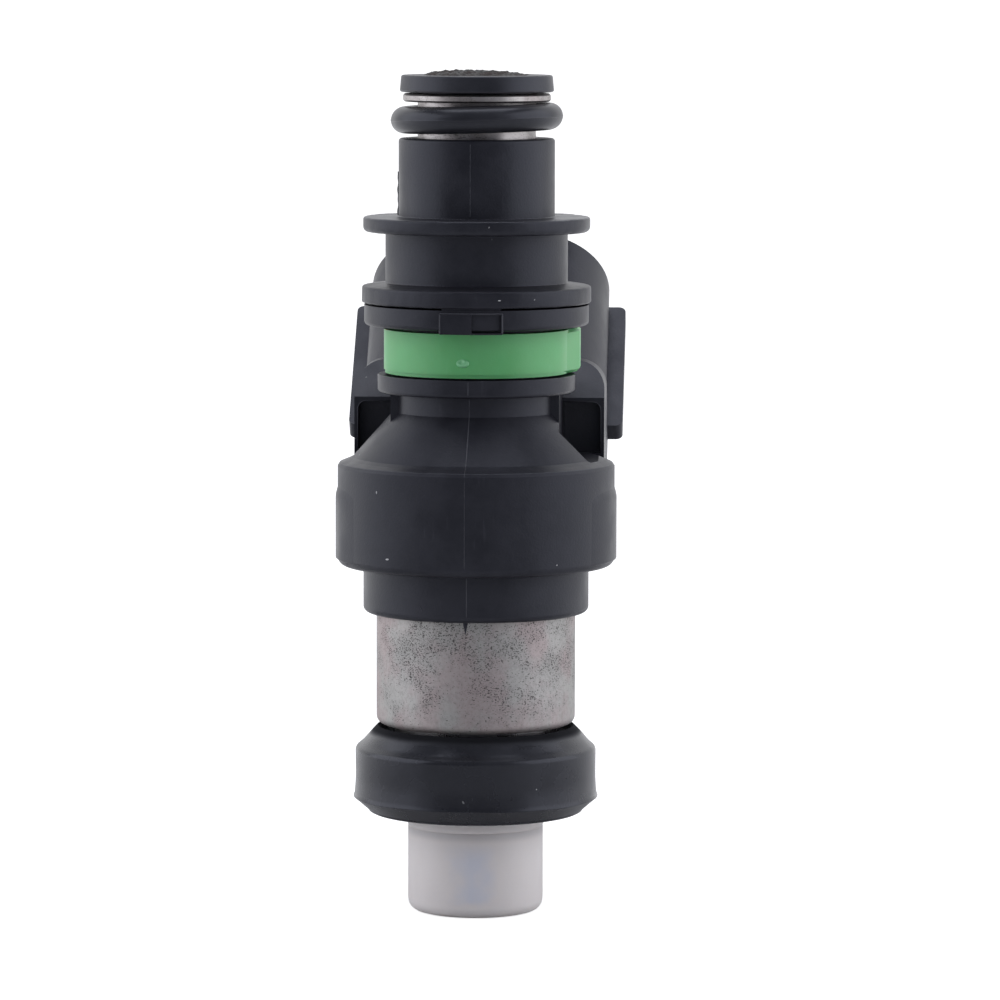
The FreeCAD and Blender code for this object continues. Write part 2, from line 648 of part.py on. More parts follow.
def body_overmould():
    """Main moulding: barrel, neck, hood and connector, less the room for all it encloses."""
    body = barrel_skin().fuse([side_pads(), catch_boss(), hood(), shroud()])
    hollows = [
        pocket(1, RIGHT_POCKET_FRONT_Y),
        pocket(-1, LEFT_POCKET_FRONT_Y),
        socket_hollow(),
        inner_envelope(),
        snap_tongue(TONGUE_GAP),
        catch_window(),
        colour_ring_room(),
        terminal(-1),
        terminal(1),
    ]
    for hollow in hollows:
        body = body.cut(hollow)
    return body.removeSplitter()


# ---------------------------------------------------------------- colour ring

def ring_lug(low_z, high_z):
    """Faceted finger lug at the right end of the ring."""
    front_r = RING_R - LUG_FRONT_INSET
    front_angle = math.radians(LUG_FRONT_DEG)
    end_y = HOOD_FRONT_Y - RING_END_GAP
    lug_x = RING_R + LUG_STEP
    corners = [
        FreeCAD.Vector(front_r * math.cos(front_angle), -front_r * math.sin(front_angle), low_z),
        FreeCAD.Vector(lug_x, LUG_FACET_Y, low_z),
        FreeCAD.Vector(lug_x, end_y, low_z),
        FreeCAD.Vector(RING_SEAT_R, end_y, low_z),
    ]
    outline = Part.Face(Part.makePolygon(corners + [corners[0]]))
    lug = outline.extrude(FreeCAD.Vector(0, 0, high_z - low_z))
    rims = []
    for edge in lug.Edges:
        middle = edge.CenterOfMass
        level = abs(edge.Vertexes[0].Z - edge.Vertexes[-1].Z) < 0.001
        if level and middle.x > RING_R - LUG_STEP / 3 and middle.y < end_y - 0.1:
            rims.append(edge)
    return lug.makeChamfer(LUG_CHAMFER, rims)


def colour_ring():
    """C-shaped clip-on ring, open towards the hood, stepped at its lower rim."""
    bore_r = RING_SEAT_R + PRESS_GAP
    below = RING_LOW_Z - 1
    above = RING_HIGH_Z + 1
    ring = tube_solid(RING_R, bore_r, RING_LOW_Z, RING_HIGH_Z)
    ring = ring.cut(tube_solid(RING_R + 1, RING_R - RING_STEP, below, RING_LOW_Z + RING_STEP_H))
    ring = ring.cut(block(-BARREL_R, BARREL_R, HOOD_FRONT_Y - RING_END_GAP, BARREL_R, below, above))
    lug = ring_lug(RING_LOW_Z, RING_HIGH_Z).cut(tube_solid(bore_r, 0, below, above))
    return ring.fuse(lug).removeSplitter()


def colour_ring_room():
    """Room behind the ring's end lug, so that it never meets the hood."""
    low_x = RING_R - LUG_STEP
    high_x = RING_R + LUG_STEP + LUG_GAP
    low_z = RING_LOW_Z - RING_LOW_GAP / 2
    return block(low_x, high_x, 0, HOOD_FRONT_Y, low_z, LOWER_FLANGE_BOTTOM_Z)


# ---------------------------------------------------------------- connector blades

def terminal(side):
    """One blade: out of the socket floor, back through the body, then down to the coil."""
    tilt = math.radians(PLUG_TILT_DEG)
    middle_x = side * BLADE_PITCH / 2
    half_w = BLADE_W / 2
    half_thick = BLADE_THICK / 2
    knee_z = HOUSING_TOP_Z + KNEE_RISE
    tip_s = SOCKET_DEPTH - BLADE_OUT
    back_s = (MOUTH_Z - knee_z) / math.sin(tilt)
    knee_y = MOUTH_Y - back_s * math.cos(tilt)
    corner = FreeCAD.Vector(middle_x - half_w, -half_thick, tip_s)
    blade = Part.makeBox(BLADE_W, BLADE_THICK, back_s - tip_s, corner)
    tip_edges = [edge for edge in blade.Edges if edge.CenterOfMass.z < tip_s + 0.01]
    blade = plug_place(blade.makeChamfer(BLADE_THICK / 3, tip_edges))
    low_x = middle_x - half_w
    run_end = max(knee_y + BLADE_THICK / 2, FOOT_Y + BLADE_THICK)
    run = block(low_x, low_x + BLADE_W, FOOT_Y, run_end, knee_z - half_thick, knee_z + half_thick)
    foot_x = middle_x - FOOT_W / 2
    foot_z = BOBBIN_TOP_Z + BLADE_THICK / 2
    foot = block(foot_x, foot_x + FOOT_W, FOOT_Y, FOOT_Y + BLADE_THICK, foot_z, knee_z + half_thick)
    return blade.fuse([run, foot]).removeSplitter()


# ---------------------------------------------------------------- magnet

def fixed_core():
    funnel_r = 3.2
    funnel_h = 3.0
    return ring_solid([
        (CORE_BORE_R, CORE_BOTTOM_Z),
        (CORE_R, CORE_BOTTOM_Z),
        (CORE_R, CORE_TOP_Z),
        (funnel_r, CORE_TOP_Z),
        (CORE_BORE_R, CORE_TOP_Z - funnel_h),
    ])


def adjusting_tube():
    """Slit sleeve pressed into the core's bore, which sets the spring's load."""
    outer_r = CORE_BORE_R - PRESS_GAP
    slit_half_w = 0.25
    top = SPRING_TOP_Z + ADJUSTER_L
    sleeve = tube_solid(outer_r, outer_r - ADJUSTER_WALL, SPRING_TOP_Z, top)
    return sleeve.cut(block(-slit_half_w, slit_half_w, 0, CORE_R, SPRING_TOP_Z, top))


def return_spring():
    """Round wire wound between the armature's seat and the adjusting tube."""
    wire_r = SPRING_WIRE / 2
    low = SPRING_SEAT_Z + wire_r + PRESS_GAP
    rise = SPRING_TOP_Z - PRESS_GAP - wire_r - low
    helix = Part.makeHelix(rise / SPRING_TURNS, rise, SPRING_COIL_R)
    helix.translate(FreeCAD.Vector(0, 0, low))
    start = FreeCAD.Vector(SPRING_COIL_R, 0, low)
    section = Part.Wire(Part.makeCircle(wire_r, start, ALONG_Y))
    return Part.Wire(helix).makePipeShell([section], True, True)


def flux_washer():
    """Washer that closes the housing's top, slotted for the bobbin's tower."""
    outer_r = HOUSING_BORE_R - PRESS_GAP
    slot_gap = 0.2
    half = TOWER_HALF_W + slot_gap
    front_y = FOOT_Y - 3 * slot_gap
    washer = tube_solid(outer_r, TUBE_BORE_R, WASHER_BOTTOM_Z, WASHER_TOP_Z)
    return washer.cut(block(-half, half, front_y, HOUSING_R, WASHER_BOTTOM_Z, WASHER_TOP_Z))


def coil_bobbin():
    """Spool, with the small tower on its top flange that holds the blades' feet."""
    barrel_r = BOBBIN_BORE_R + BOBBIN_WALL
    spool = ring_solid([
        (BOBBIN_BORE_R, BOBBIN_BOTTOM_Z),
        (BOBBIN_R, BOBBIN_BOTTOM_Z),
        (BOBBIN_R, BOBBIN_BOTTOM_Z + BOBBIN_FLANGE),
        (barrel_r, BOBBIN_BOTTOM_Z + BOBBIN_FLANGE),
        (barrel_r, BOBBIN_TOP_Z - BOBBIN_FLANGE),
        (BOBBIN_R, BOBBIN_TOP_Z - BOBBIN_FLANGE),
        (BOBBIN_R, BOBBIN_TOP_Z),
        (BOBBIN_BORE_R, BOBBIN_TOP_Z),
    ])
    front_y = FOOT_Y - TOWER_WALL / 2
    back_y = FOOT_Y + BLADE_THICK + TOWER_WALL
    tower = block(-TOWER_HALF_W, TOWER_HALF_W, front_y, back_y, BOBBIN_TOP_Z, WASHER_TOP_Z)
    tower = tower.common(tube_solid(BOBBIN_R, BOBBIN_BORE_R, BOBBIN_TOP_Z, WASHER_TOP_Z))
    spool = spool.fuse(tower)
    return spool.cut([terminal(-1), terminal(1)]).removeSplitter()


def coil_winding():
    inner_r = BOBBIN_BORE_R + BOBBIN_WALL + PRESS_GAP
    low = BOBBIN_BOTTOM_Z + BOBBIN_FLANGE + PRESS_GAP
    high = BOBBIN_TOP_Z - BOBBIN_FLANGE - PRESS_GAP
    return tube_solid(BOBBIN_R - WINDING_DEPTH_LEFT, inner_r, low, high)


def steel_housing():
    """Deep-drawn cup that carries the flux round the coil."""
    floor_z = HOUSING_BOTTOM_Z + HOUSING_FLOOR
    hole_r = GUIDE_OUTER_R + PRESS_GAP
    shell = ring_solid([
        (hole_r, HOUSING_BOTTOM_Z),
        (HOUSING_R, HOUSING_BOTTOM_Z),
        (HOUSING_R, HOUSING_TOP_Z),
        (HOUSING_BORE_R, HOUSING_TOP_Z),
        (HOUSING_BORE_R, floor_z),
        (hole_r, floor_z),
    ])
    return round_rims(shell, 0.7, HOUSING_BOTTOM_Z, HOUSING_R)


def non_magnetic_ring():
    low = GUIDE_TOP_Z + PRESS_GAP
    return tube_solid(GUIDE_OUTER_R, TUBE_BORE_R, low, low + MAGNETIC_BREAK_H)


# ---------------------------------------------------------------- valve

def armature():
    """Sliding iron core with a spring pocket, a needle press seat and three bleed holes."""
    outer_r = GUIDE_R - GUIDE_GAP
    edge = 0.3
    passage_r = NEEDLE_BORE_R + GUIDE_GAP
    pocket_r = CORE_BORE_R - GUIDE_GAP
    press_r = NEEDLE_R + MOULD_GAP
    body = ring_solid([
        (press_r, ARMATURE_BOTTOM_Z),
        (outer_r - edge, ARMATURE_BOTTOM_Z),
        (outer_r, ARMATURE_BOTTOM_Z + edge),
        (outer_r, ARMATURE_TOP_Z),
        (pocket_r, ARMATURE_TOP_Z),
        (pocket_r, SPRING_SEAT_Z),
        (passage_r, SPRING_SEAT_Z),
        (passage_r, NEEDLE_TOP_Z + MOULD_GAP),
        (press_r, NEEDLE_TOP_Z + MOULD_GAP),
    ])
    bleed_r = 0.5
    bleed_at = FreeCAD.Vector((pocket_r + outer_r) / 2, 0, ARMATURE_BOTTOM_Z)
    bleed = Part.makeCylinder(bleed_r, ARMATURE_H, bleed_at)
    return body.cut(turned_copies(bleed, (0, 120, 240)))


def needle_tube():
    """Hollow stem between the armature and the ball, with two cross holes for the fuel."""
    hole_r = 0.35
    low = BALL_Z + 0.6 * BALL_R
    tube = tube_solid(NEEDLE_R, NEEDLE_BORE_R, low, NEEDLE_TOP_Z)
    tube = tube.cut(Part.makeSphere(BALL_R + WELD_GAP, FreeCAD.Vector(0, 0, BALL_Z)))
    for level in (BALL_Z + 2 * BALL_R + 2 * hole_r, ARMATURE_BOTTOM_Z - 10 * hole_r):
        start = FreeCAD.Vector(-2 * NEEDLE_R, 0, level)
        tube = tube.cut(Part.makeCylinder(hole_r, 4 * NEEDLE_R, start, ALONG_X))
    return tube


def valve_ball():
    return Part.makeSphere(BALL_R, FreeCAD.Vector(0, 0, BALL_Z))


def valve_body():
    """Armature guide, seat of the manifold seal and nozzle tube in one turned piece."""
    chamfer = 0.5
    tip_flare = 0.6
    shoulder_z = HOUSING_BOTTOM_Z - PRESS_GAP
    guide_low_z = ARMATURE_BOTTOM_Z - 2.5
    cone_h = 1.5
    return ring_solid([
        (NOZZLE_BORE_R, NOZZLE_TIP_Z + tip_flare),
        (NOZZLE_BORE_R + tip_flare, NOZZLE_TIP_Z),
        (NOZZLE_R - chamfer, NOZZLE_TIP_Z),
        (NOZZLE_R, NOZZLE_TIP_Z + chamfer),
        (NOZZLE_R, SEAL_SEAT_BOTTOM_Z),
        (SEAL_SEAT_R, SEAL_SEAT_BOTTOM_Z),
        (SEAL_SEAT_R, shoulder_z),
        (GUIDE_OUTER_R, shoulder_z),
        (GUIDE_OUTER_R, GUIDE_TOP_Z),
        (GUIDE_R, GUIDE_TOP_Z),
        (GUIDE_R, guide_low_z),
        (NOZZLE_BORE_R, guide_low_z - cone_h),
    ])


def valve_seat():
    """Conical seat under the ball, which is guided in a bore with three flow channels."""
    outer_r = NOZZLE_BORE_R - PRESS_GAP
    guide_r = BALL_R + GUIDE_GAP
    guide_low_z = SEAT_CONE_TIP_Z + guide_r
    seat = ring_solid([
        (SEAT_HOLE_R, SEAT_BOTTOM_Z),
        (outer_r, SEAT_BOTTOM_Z),
        (outer_r, SEAT_TOP_Z),
        (guide_r, SEAT_TOP_Z),
        (guide_r, guide_low_z),
        (SEAT_HOLE_R, SEAT_CONE_TIP_Z + SEAT_HOLE_R),
    ])
    reach = (guide_r + outer_r) / 2
    half_w = 0.35
    channel = block(-reach, reach, -half_w, half_w, guide_low_z, SEAT_TOP_Z)
    return seat.cut(turned_copies(channel, (0, 60, 120)))


def orifice_plate():
    """Thin disc under the seat with four metering holes."""
    top = SEAT_BOTTOM_Z - PRESS_GAP
    low = top - PLATE_THICK
    plate = tube_solid(NOZZLE_BORE_R - PRESS_GAP, 0, low, top)
    hole_at = FreeCAD.Vector(METERING_CIRCLE_R, 0, low)
    hole = Part.makeCylinder(METERING_HOLE_R, PLATE_THICK, hole_at)
    return plate.cut(turned_copies(hole, (45, 135, 225, 315)))


# ---------------------------------------------------------------- seal, retainer and cap

def manifold_seal():
    bore_r = SEAL_SEAT_R + PRESS_GAP
    return ring_solid([
        (bore_r, SEAL_BOTTOM_Z),
        (SEAL_R - SEAL_BOTTOM_TAPER, SEAL_BOTTOM_Z),
        (SEAL_R, SEAL_WALL_LOW_Z),
        (SEAL_R, SEAL_WALL_HIGH_Z),
        (SEAL_R - SEAL_TOP_TAPER, SEAL_TOP_Z),
        (bore_r, SEAL_TOP_Z),
    ])


def seal_retainer():
    """Split snap ring that keeps the seal on its seat."""
    high = SEAL_SEAT_BOTTOM_Z - PRESS_GAP
    low = SEAL_BOTTOM_Z + 0.1
    half_gap = 0.6
    ring = tube_solid(SEAL_SEAT_R - PRESS_GAP, NOZZLE_R + PRESS_GAP, low, high)
    return ring.cut(block(-half_gap, half_gap, 0, SEAL_R, low, high))


def protective_cap():
    """Push-on transit cap that grips the nozzle with short ribs."""
    top = SEAL_BOTTOM_Z - CAP_TO_SEAL
    rim_z = top - CAP_RIM_H
    rim_r = CAP_R + CAP_RIM_STEP
    floor_z = CAP_BOTTOM_Z + CAP_FLOOR
    low_r = CAP_R - CAP_TAPER
    shell = ring_solid([
        (0, CAP_BOTTOM_Z),
        (low_r, CAP_BOTTOM_Z),
        (CAP_R - CAP_RIM_STEP, rim_z),
        (rim_r, rim_z + 4 * CAP_RIM_STEP),
        (rim_r, top),
        (CAP_BORE_R, top),
        (CAP_BORE_R, floor_z),
        (0, floor_z),
    ])
    shell = round_rims(shell, 0.85, CAP_BOTTOM_Z, low_r)
    rib_in = NOZZLE_R + CAP_GAP
    rib_root = 0.3
    half_w = CAP_RIB_W / 2
    rib_low = floor_z - rib_root
    rib_high = top - CAP_RIM_H
    rib = block(rib_in, CAP_BORE_R + rib_root, -half_w, half_w, rib_low, rib_high)
    angles = [360 / CAP_RIBS * (step + 0.5) for step in range(CAP_RIBS)]
    return shell.fuse(turned_copies(rib, angles)).removeSplitter()


# ---------------------------------------------------------------- write every piece

pieces = {
    "filter_frame": filter_frame(),
    "filter_mesh": filter_mesh(),
    "inlet_tube": inlet_tube(),
    "upper_o_ring": upper_o_ring(),
    "upper_overmould": upper_overmould(),
    "body_overmould": body_overmould(),
    "colour_ring": colour_ring(),
    "terminal_left": terminal(-1),
    "terminal_right": terminal(1),
    "fixed_core": fixed_core(),
    "adjusting_tube": adjusting_tube(),
    "return_spring": return_spring(),
    "flux_washer": flux_washer(),
    "coil_bobbin": coil_bobbin(),
    "coil_winding": coil_winding(),
    "steel_housing": steel_housing(),
    "non_magnetic_ring": non_magnetic_ring(),
    "armature": armature(),
    "needle_tube": needle_tube(),
    "valve_ball": valve_ball(),
    "valve_body": valve_body(),
    "valve_seat": valve_seat(),
    "orifice_plate": orifice_plate(),
    "manifold_seal": manifold_seal(),
    "seal_retainer": seal_retainer(),
    "protective_cap": protective_cap(),
}

for name, shape in pieces.items():
    shape.exportStep("parts/" + name + ".step")
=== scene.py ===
import math

import bmesh
import bpy
import numpy as np
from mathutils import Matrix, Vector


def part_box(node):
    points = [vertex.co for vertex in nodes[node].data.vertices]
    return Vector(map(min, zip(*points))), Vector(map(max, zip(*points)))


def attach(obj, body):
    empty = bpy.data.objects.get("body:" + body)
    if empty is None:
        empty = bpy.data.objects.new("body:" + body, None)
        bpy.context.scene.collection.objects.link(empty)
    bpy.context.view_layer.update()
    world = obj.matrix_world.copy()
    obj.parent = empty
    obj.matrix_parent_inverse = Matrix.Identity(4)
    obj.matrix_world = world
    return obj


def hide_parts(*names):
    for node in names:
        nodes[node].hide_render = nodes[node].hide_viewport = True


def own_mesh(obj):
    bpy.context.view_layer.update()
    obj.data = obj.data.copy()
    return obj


# A top-feed petrol injector in its transit cap, standing on its axis. The meshes are in metres
# in the frame of the solids: +Z up to the fuel rail, +Y to the side of the plug. Outlines,
# radii and levels are worked out in mm, and bearings in degrees, with -90 at the front.

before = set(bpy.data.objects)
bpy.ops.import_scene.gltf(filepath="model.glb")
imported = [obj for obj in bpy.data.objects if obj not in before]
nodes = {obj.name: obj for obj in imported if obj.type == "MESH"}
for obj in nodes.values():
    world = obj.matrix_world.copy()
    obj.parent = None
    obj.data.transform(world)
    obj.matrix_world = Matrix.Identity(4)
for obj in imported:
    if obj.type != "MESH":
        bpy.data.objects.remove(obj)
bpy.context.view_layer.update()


# ---- Inlet filter -------------------------------------------------------------------------
# A black nylon disc with a basket below it, pushed into the inlet tube. Over its mouth sits
# a brown woven strainer, heat-set into the frame, so its lid is slightly lumpy.


def skin(name, grid, close_across=True, close_along=False, soft_deg=35.0):
    """Mesh on a grid of points: point (i, j) joins (i+1, j), (i+1, j+1) and (i, j+1).
    Across is j, along is i, and either can close on itself. Poles and seams are merged."""
    grid = np.asarray(grid, float)
    along, across = grid.shape[:2]
    i = np.arange(along if close_along else along - 1)
    j = np.arange(across if close_across else across - 1)
    low = (i[:, None] * across + j[None, :]).ravel()
    right = (i[:, None] * across + (j[None, :] + 1) % across).ravel()
    up = (((i[:, None] + 1) % along) * across + j[None, :]).ravel()
    both = (((i[:, None] + 1) % along) * across + (j[None, :] + 1) % across).ravel()
    mesh = bpy.data.meshes.new(name)
    mesh.from_pydata(grid.reshape(-1, 3), [], np.stack([low, right, both, up], 1).tolist())
    shell = bmesh.new()
    shell.from_mesh(mesh)
    bmesh.ops.remove_doubles(shell, verts=shell.verts, dist=2e-7)
    bmesh.ops.recalc_face_normals(shell, faces=shell.faces)
    shell.to_mesh(mesh)
    shell.free()
    mesh.shade_smooth()
    mesh.set_sharp_from_angle(angle=math.radians(soft_deg))
    piece = bpy.data.objects.new(name, mesh)
    bpy.context.scene.collection.objects.link(piece)
    return piece


def outline(corners, steps=5):
    """Outline in mm from (radius, height, rounding): each corner becomes an arc that is
    tangent to both of its sides, at most 0.45 of the shorter side long."""
    points = np.array([c[:2] for c in corners], float)
    count, made = len(points), []
    for k, (r, z, rounding) in enumerate(corners):
        here = points[k]
        back, on = points[k - 1] - here, points[(k + 1) % count] - here
        reach_back, reach_on = np.linalg.norm(back), np.linalg.norm(on)
        if rounding <= 0 or min(reach_back, reach_on) < 1e-9:
            made.append(here[None])
            continue
        reach = min(rounding, 0.45 * reach_back, 0.45 * reach_on)
        first, last = here + back / reach_back * reach, here + on / reach_on * reach
        t = np.linspace(0, 1, steps)[:, None]
        made.append((1 - t) ** 2 * first + 2 * t * (1 - t) * here + t**2 * last)
    return np.concatenate(made)


def turned(name, corners, around=192, steps=5, wobble=None):
    """Turned shell: a point (r, z) of the outline goes to (r cos a, r sin a, z) at angle a.
    wobble(points, a) may move the points a little, to show a soft or uneven piece."""
    section = outline(corners, steps)
    a = np.linspace(0, 2 * np.pi, around, endpoint=False)
    r, z = section[:, :1], section[:, 1:]
    grid = np.stack([r * np.cos(a), r * np.sin(a), z + 0 * a], -1)
    if wobble:
        grid = wobble(grid, a)
    return skin(name, grid / 1000, close_across=True, close_along=True)


class Board:
    """A material's or a group's node tree, with short calls to add and join nodes."""

    def __init__(self, tree):
        self.tree = tree

    def add(self, kind, settings=None, **inputs):
        """Add a node. Inputs go by their name, or by their number as i0, i1 and so on."""
        node = self.tree.nodes.new(kind)
        for key, value in (settings or {}).items():
            setattr(node, key, value)
        for key, value in inputs.items():
            by_number = key[0] == "i" and key[1:].isdigit()
            self.feed(node.inputs[int(key[1:]) if by_number else key.replace("_", " ")], value)
        return node

    def feed(self, socket, value):
        """Join another node's output to this input, or set the input to a value."""
        if isinstance(value, bpy.types.NodeSocket):
            self.tree.links.new(value, socket)
        else:
            socket.default_value = value

    def math(self, kind, a, b=0.0, clamp=False):
        """Result of a sum, product or other arithmetic on two numbers."""
        return self.add("ShaderNodeMath", {"operation": kind, "use_clamp": clamp}, i0=a, i1=b).outputs[0]

    def noise(self, place, scale, detail=3.0, rough=0.55):
        """Smooth noise round 0.5, with this many waves per metre."""
        node = self.add("ShaderNodeTexNoise", Vector=place, Scale=scale, Detail=detail, Roughness=rough)
        return node.outputs["Fac"]

    def step(self, value, low, high, out_low=0.0, out_high=1.0):
        """Smooth step from out_low to out_high as the value goes from low to high."""
        node = self.add("ShaderNodeMapRange", {"interpolation_type": "SMOOTHSTEP"}, Value=value)
        for key, v in zip(("From Min", "From Max", "To Min", "To Max"), (low, high, out_low, out_high)):
            self.feed(node.inputs[key], v)
        return node.outputs["Result"]

    def mix(self, share, a, b):
        """Colour a at share 0 and colour b at share 1."""
        node = self.add("ShaderNodeMix", {"data_type": "RGBA"}, i0=share)
        self.feed(node.inputs[6], a)
        self.feed(node.inputs[7], b)
        return node.outputs[2]

    def stretch(self, place, x, y, z):
        """The place with its x, y and z multiplied by these numbers."""
        return self.add("ShaderNodeMapping", Vector=place, Scale=(x, y, z)).outputs[0]


def make_group(name, takes, gives):
    """Empty node group with the named sockets, and the sockets to read from and feed."""
    group = bpy.data.node_groups.new(name, "ShaderNodeTree")
    for socket, kind, value in takes:
        made = group.interface.new_socket(name=socket, in_out="INPUT", socket_type=kind)
        made.default_value = value
    for socket, kind in gives:
        group.interface.new_socket(name=socket, in_out="OUTPUT", socket_type=kind)
    board = Board(group)
    start = board.add("NodeGroupInput")
    end = board.add("NodeGroupOutput")
    return board, start.outputs, end.inputs


def moulded_group():
    """Moulded plastic or rubber: fine grain, slow mottling, rubbed streaks and dust specks."""
    board, takes, gives = make_group(
        "moulded_surface",
        [("Base", "NodeSocketColor", (0.02, 0.02, 0.02, 1)), ("Worn", "NodeSocketColor", (0.1, 0.1, 0.1, 1)),
         ("Rub", "NodeSocketFloat", 0.3), ("Dust", "NodeSocketFloat", 0.5),
         ("Grain", "NodeSocketFloat", 5000.0), ("Rough", "NodeSocketFloat", 0.45)],
        [("Colour", "NodeSocketColor"), ("Roughness", "NodeSocketFloat"), ("Height", "NodeSocketFloat")],
    )
    place = board.add("ShaderNodeTexCoord").outputs["Object"]
    grain = board.noise(place, takes["Grain"], 2.0)
    mottle = board.noise(place, 260.0, 4.0)
    streak_place = board.stretch(place, 1.0, 1.0, 0.08)
    streak = board.noise(streak_place, 2600.0, 3.0, 0.7)
    patch = board.step(board.noise(place, 420.0, 2.0), 0.5, 0.72)
    rub = board.math("MULTIPLY", board.step(streak, 0.56, 0.74), patch)
    rub = board.math("MULTIPLY", rub, takes["Rub"])
    crumb_place = board.add("ShaderNodeTexNoise", Vector=place, Scale=3100.0, Detail=1.0).outputs["Color"]
    crumb_place = board.add("ShaderNodeVectorMath", {"operation": "SCALE"}, i0=crumb_place, Scale=0.0003)
    crumb_place = board.add("ShaderNodeVectorMath", i0=place, i1=crumb_place.outputs[0]).outputs[0]
    speck = board.add("ShaderNodeTexVoronoi", Vector=crumb_place, Scale=520.0)
    near = board.step(speck.outputs["Distance"], 0.03, 0.06, 1.0, 0.0)
    chance = board.add("ShaderNodeSeparateColor", Color=speck.outputs["Color"]).outputs[0]
    pick = board.step(chance, 0.8, 0.82)
    dust = board.math("MULTIPLY", board.math("MULTIPLY", near, pick), takes["Dust"])
    tone = board.mix(board.step(mottle, 0.3, 0.7, 0.0, 0.28), takes["Base"], takes["Worn"])
    tone = board.mix(rub, tone, takes["Worn"])
    tone = board.mix(dust, tone, (0.5, 0.5, 0.5, 1))
    board.feed(gives["Colour"], tone)
    rough = board.math("ADD", takes["Rough"], board.step(mottle, 0.3, 0.7, -0.05, 0.06))
    rough = board.math("ADD", rough, board.math("MULTIPLY", rub, 0.18), clamp=True)
    board.feed(gives["Roughness"], rough)
    height = board.math("ADD", board.math("MULTIPLY", grain, 0.7), board.math("MULTIPLY", mottle, 0.6))
    height = board.math("ADD", height, board.math("MULTIPLY", dust, 1.4))
    board.feed(gives["Height"], height)
    return board.tree


moulded = moulded_group()


def moulded_finish(name, base, worn, rough=0.45, rub=0.3, dust=0.5, grain=5000.0, relief=1.2e-5, **fixed):
    """Material of moulded plastic or rubber. relief is the height of its grain in metres."""
    made = bpy.data.materials.new(name)
    made.use_nodes = True
    board = Board(made.node_tree)
    shader = made.node_tree.nodes["Principled BSDF"]
    surface = board.add("ShaderNodeGroup", {"node_tree": moulded})
    colours = {"Base": (*base, 1), "Worn": (*worn, 1)}
    settings = colours | {"Rub": rub, "Dust": dust, "Grain": grain, "Rough": rough}
    for key, value in settings.items():
        surface.inputs[key].default_value = value
    board.feed(shader.inputs["Base Color"], surface.outputs["Colour"])
    board.feed(shader.inputs["Roughness"], surface.outputs["Roughness"])
    bump = board.add("ShaderNodeBump", Height=surface.outputs["Height"], Distance=relief, Strength=1.0)
    board.feed(shader.inputs["Normal"], bump.outputs[0])
    for key, value in fixed.items():
        shader.inputs[key.replace("_", " ")].default_value = value
    return made


def dress(piece, material):
    """Give a piece this one material."""
    piece.data.materials.clear()
    piece.data.materials.append(material)


# The gloss of the black plastics and rubbers is slightly blue.
cool_gloss = (0.84, 0.87, 1, 1)
frame_nylon = moulded_finish(
    "frame_nylon", (0.016, 0.016, 0.0195), (0.055, 0.055, 0.062), rough=0.42, rub=0.5, dust=0.8,
    Specular_IOR_Level=0.4, Specular_Tint=cool_gloss,
)
dress(nodes["filter_frame"], frame_nylon)


def sides(node):
    """Lower and upper corner of a node's box, in mm."""
    low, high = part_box(node)
    return np.array(low) * 1000, np.array(high) * 1000


disc_top = sides("filter_frame")[1][2]
basket_low, basket_high = sides("filter_mesh")


def lumpy_lid(grid, a):
    """Lumps of the heat-set weave: short crossing waves in height, strongest inside the rim,
    and the left side stands a little higher than the right."""
    x, y, z = grid[..., 0], grid[..., 1], grid[..., 2]
    lid = np.clip((z - disc_top) / 0.12, 0, 1)
    wave = np.sin(3.1 * x + 0.7) * np.sin(2.7 * y - 0.4) + 0.7 * np.sin(7.3 * x - 1.1) * np.sin(6.2 * y + 0.9)
    wave += 0.5 * np.sin(13.1 * x + 5 * y) * np.sin(11.7 * y - 4 * x + 1.3)
    side = 0.5 + 0.5 * np.clip(-x / 3, -1, 1)
    grid[..., 2] = z + lid * (0.08 * wave + 0.1 * side - 0.12)
    return grid


# The lid falls with the cube of the radius, to 0.1 mm above the disc at its rim.
lid_r, skirt_r = 4.3, 3.7
lid_fall = (basket_high[2] - disc_top - 0.1) / lid_r**3
strainer_corners = [(0, basket_high[2], 0)]
strainer_corners += [(r, basket_high[2] - lid_fall * r**3, 0) for r in np.linspace(0.15, lid_r, 44)]
strainer_corners += [(lid_r + 0.18, disc_top + 0.02, 0.04), (skirt_r, disc_top + 0.01, 0.02)]
strainer_corners += [(skirt_r, basket_low[2] + 0.1, 0.1), (0, basket_low[2], 0)]
strainer = turned("strainer_weave", strainer_corners, around=160, steps=3, wobble=lumpy_lid)
# Radians per metre of the weave's two waves, which make one thread every 0.13 mm.
thread_waves = 24000.0
weave = bpy.data.materials.new("strainer_weave")
weave.use_nodes = True
board = Board(weave.node_tree)
shader = weave.node_tree.nodes["Principled BSDF"]
place = board.add("ShaderNodeTexCoord").outputs["Object"]
x, y, z = board.add("ShaderNodeSeparateXYZ", Vector=place).outputs[:]
warp = board.math("SINE", board.math("MULTIPLY", x, thread_waves))
weft = board.math("SINE", board.math("MULTIPLY", y, thread_waves))
thread = board.math("MAXIMUM", board.math("ABSOLUTE", warp), board.math("ABSOLUTE", weft))
soil = board.step(board.noise(place, 900.0, 4.0), 0.38, 0.62)
colour = board.mix(soil, (0.004, 0.0035, 0.0035, 1), (0.03, 0.018, 0.014, 1))
colour = board.mix(board.step(thread, 0.55, 0.8), (0.004, 0.0035, 0.0035, 1), colour)
board.feed(shader.inputs["Base Color"], colour)
board.feed(shader.inputs["Roughness"], board.step(soil, 0.0, 1.0, 0.45, 0.75))
bump = board.add("ShaderNodeBump", Height=thread, Distance=4e-5)
board.feed(shader.inputs["Normal"], bump.outputs[0])
dress(strainer, weave)
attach(strainer, "injector")
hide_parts("filter_mesh")


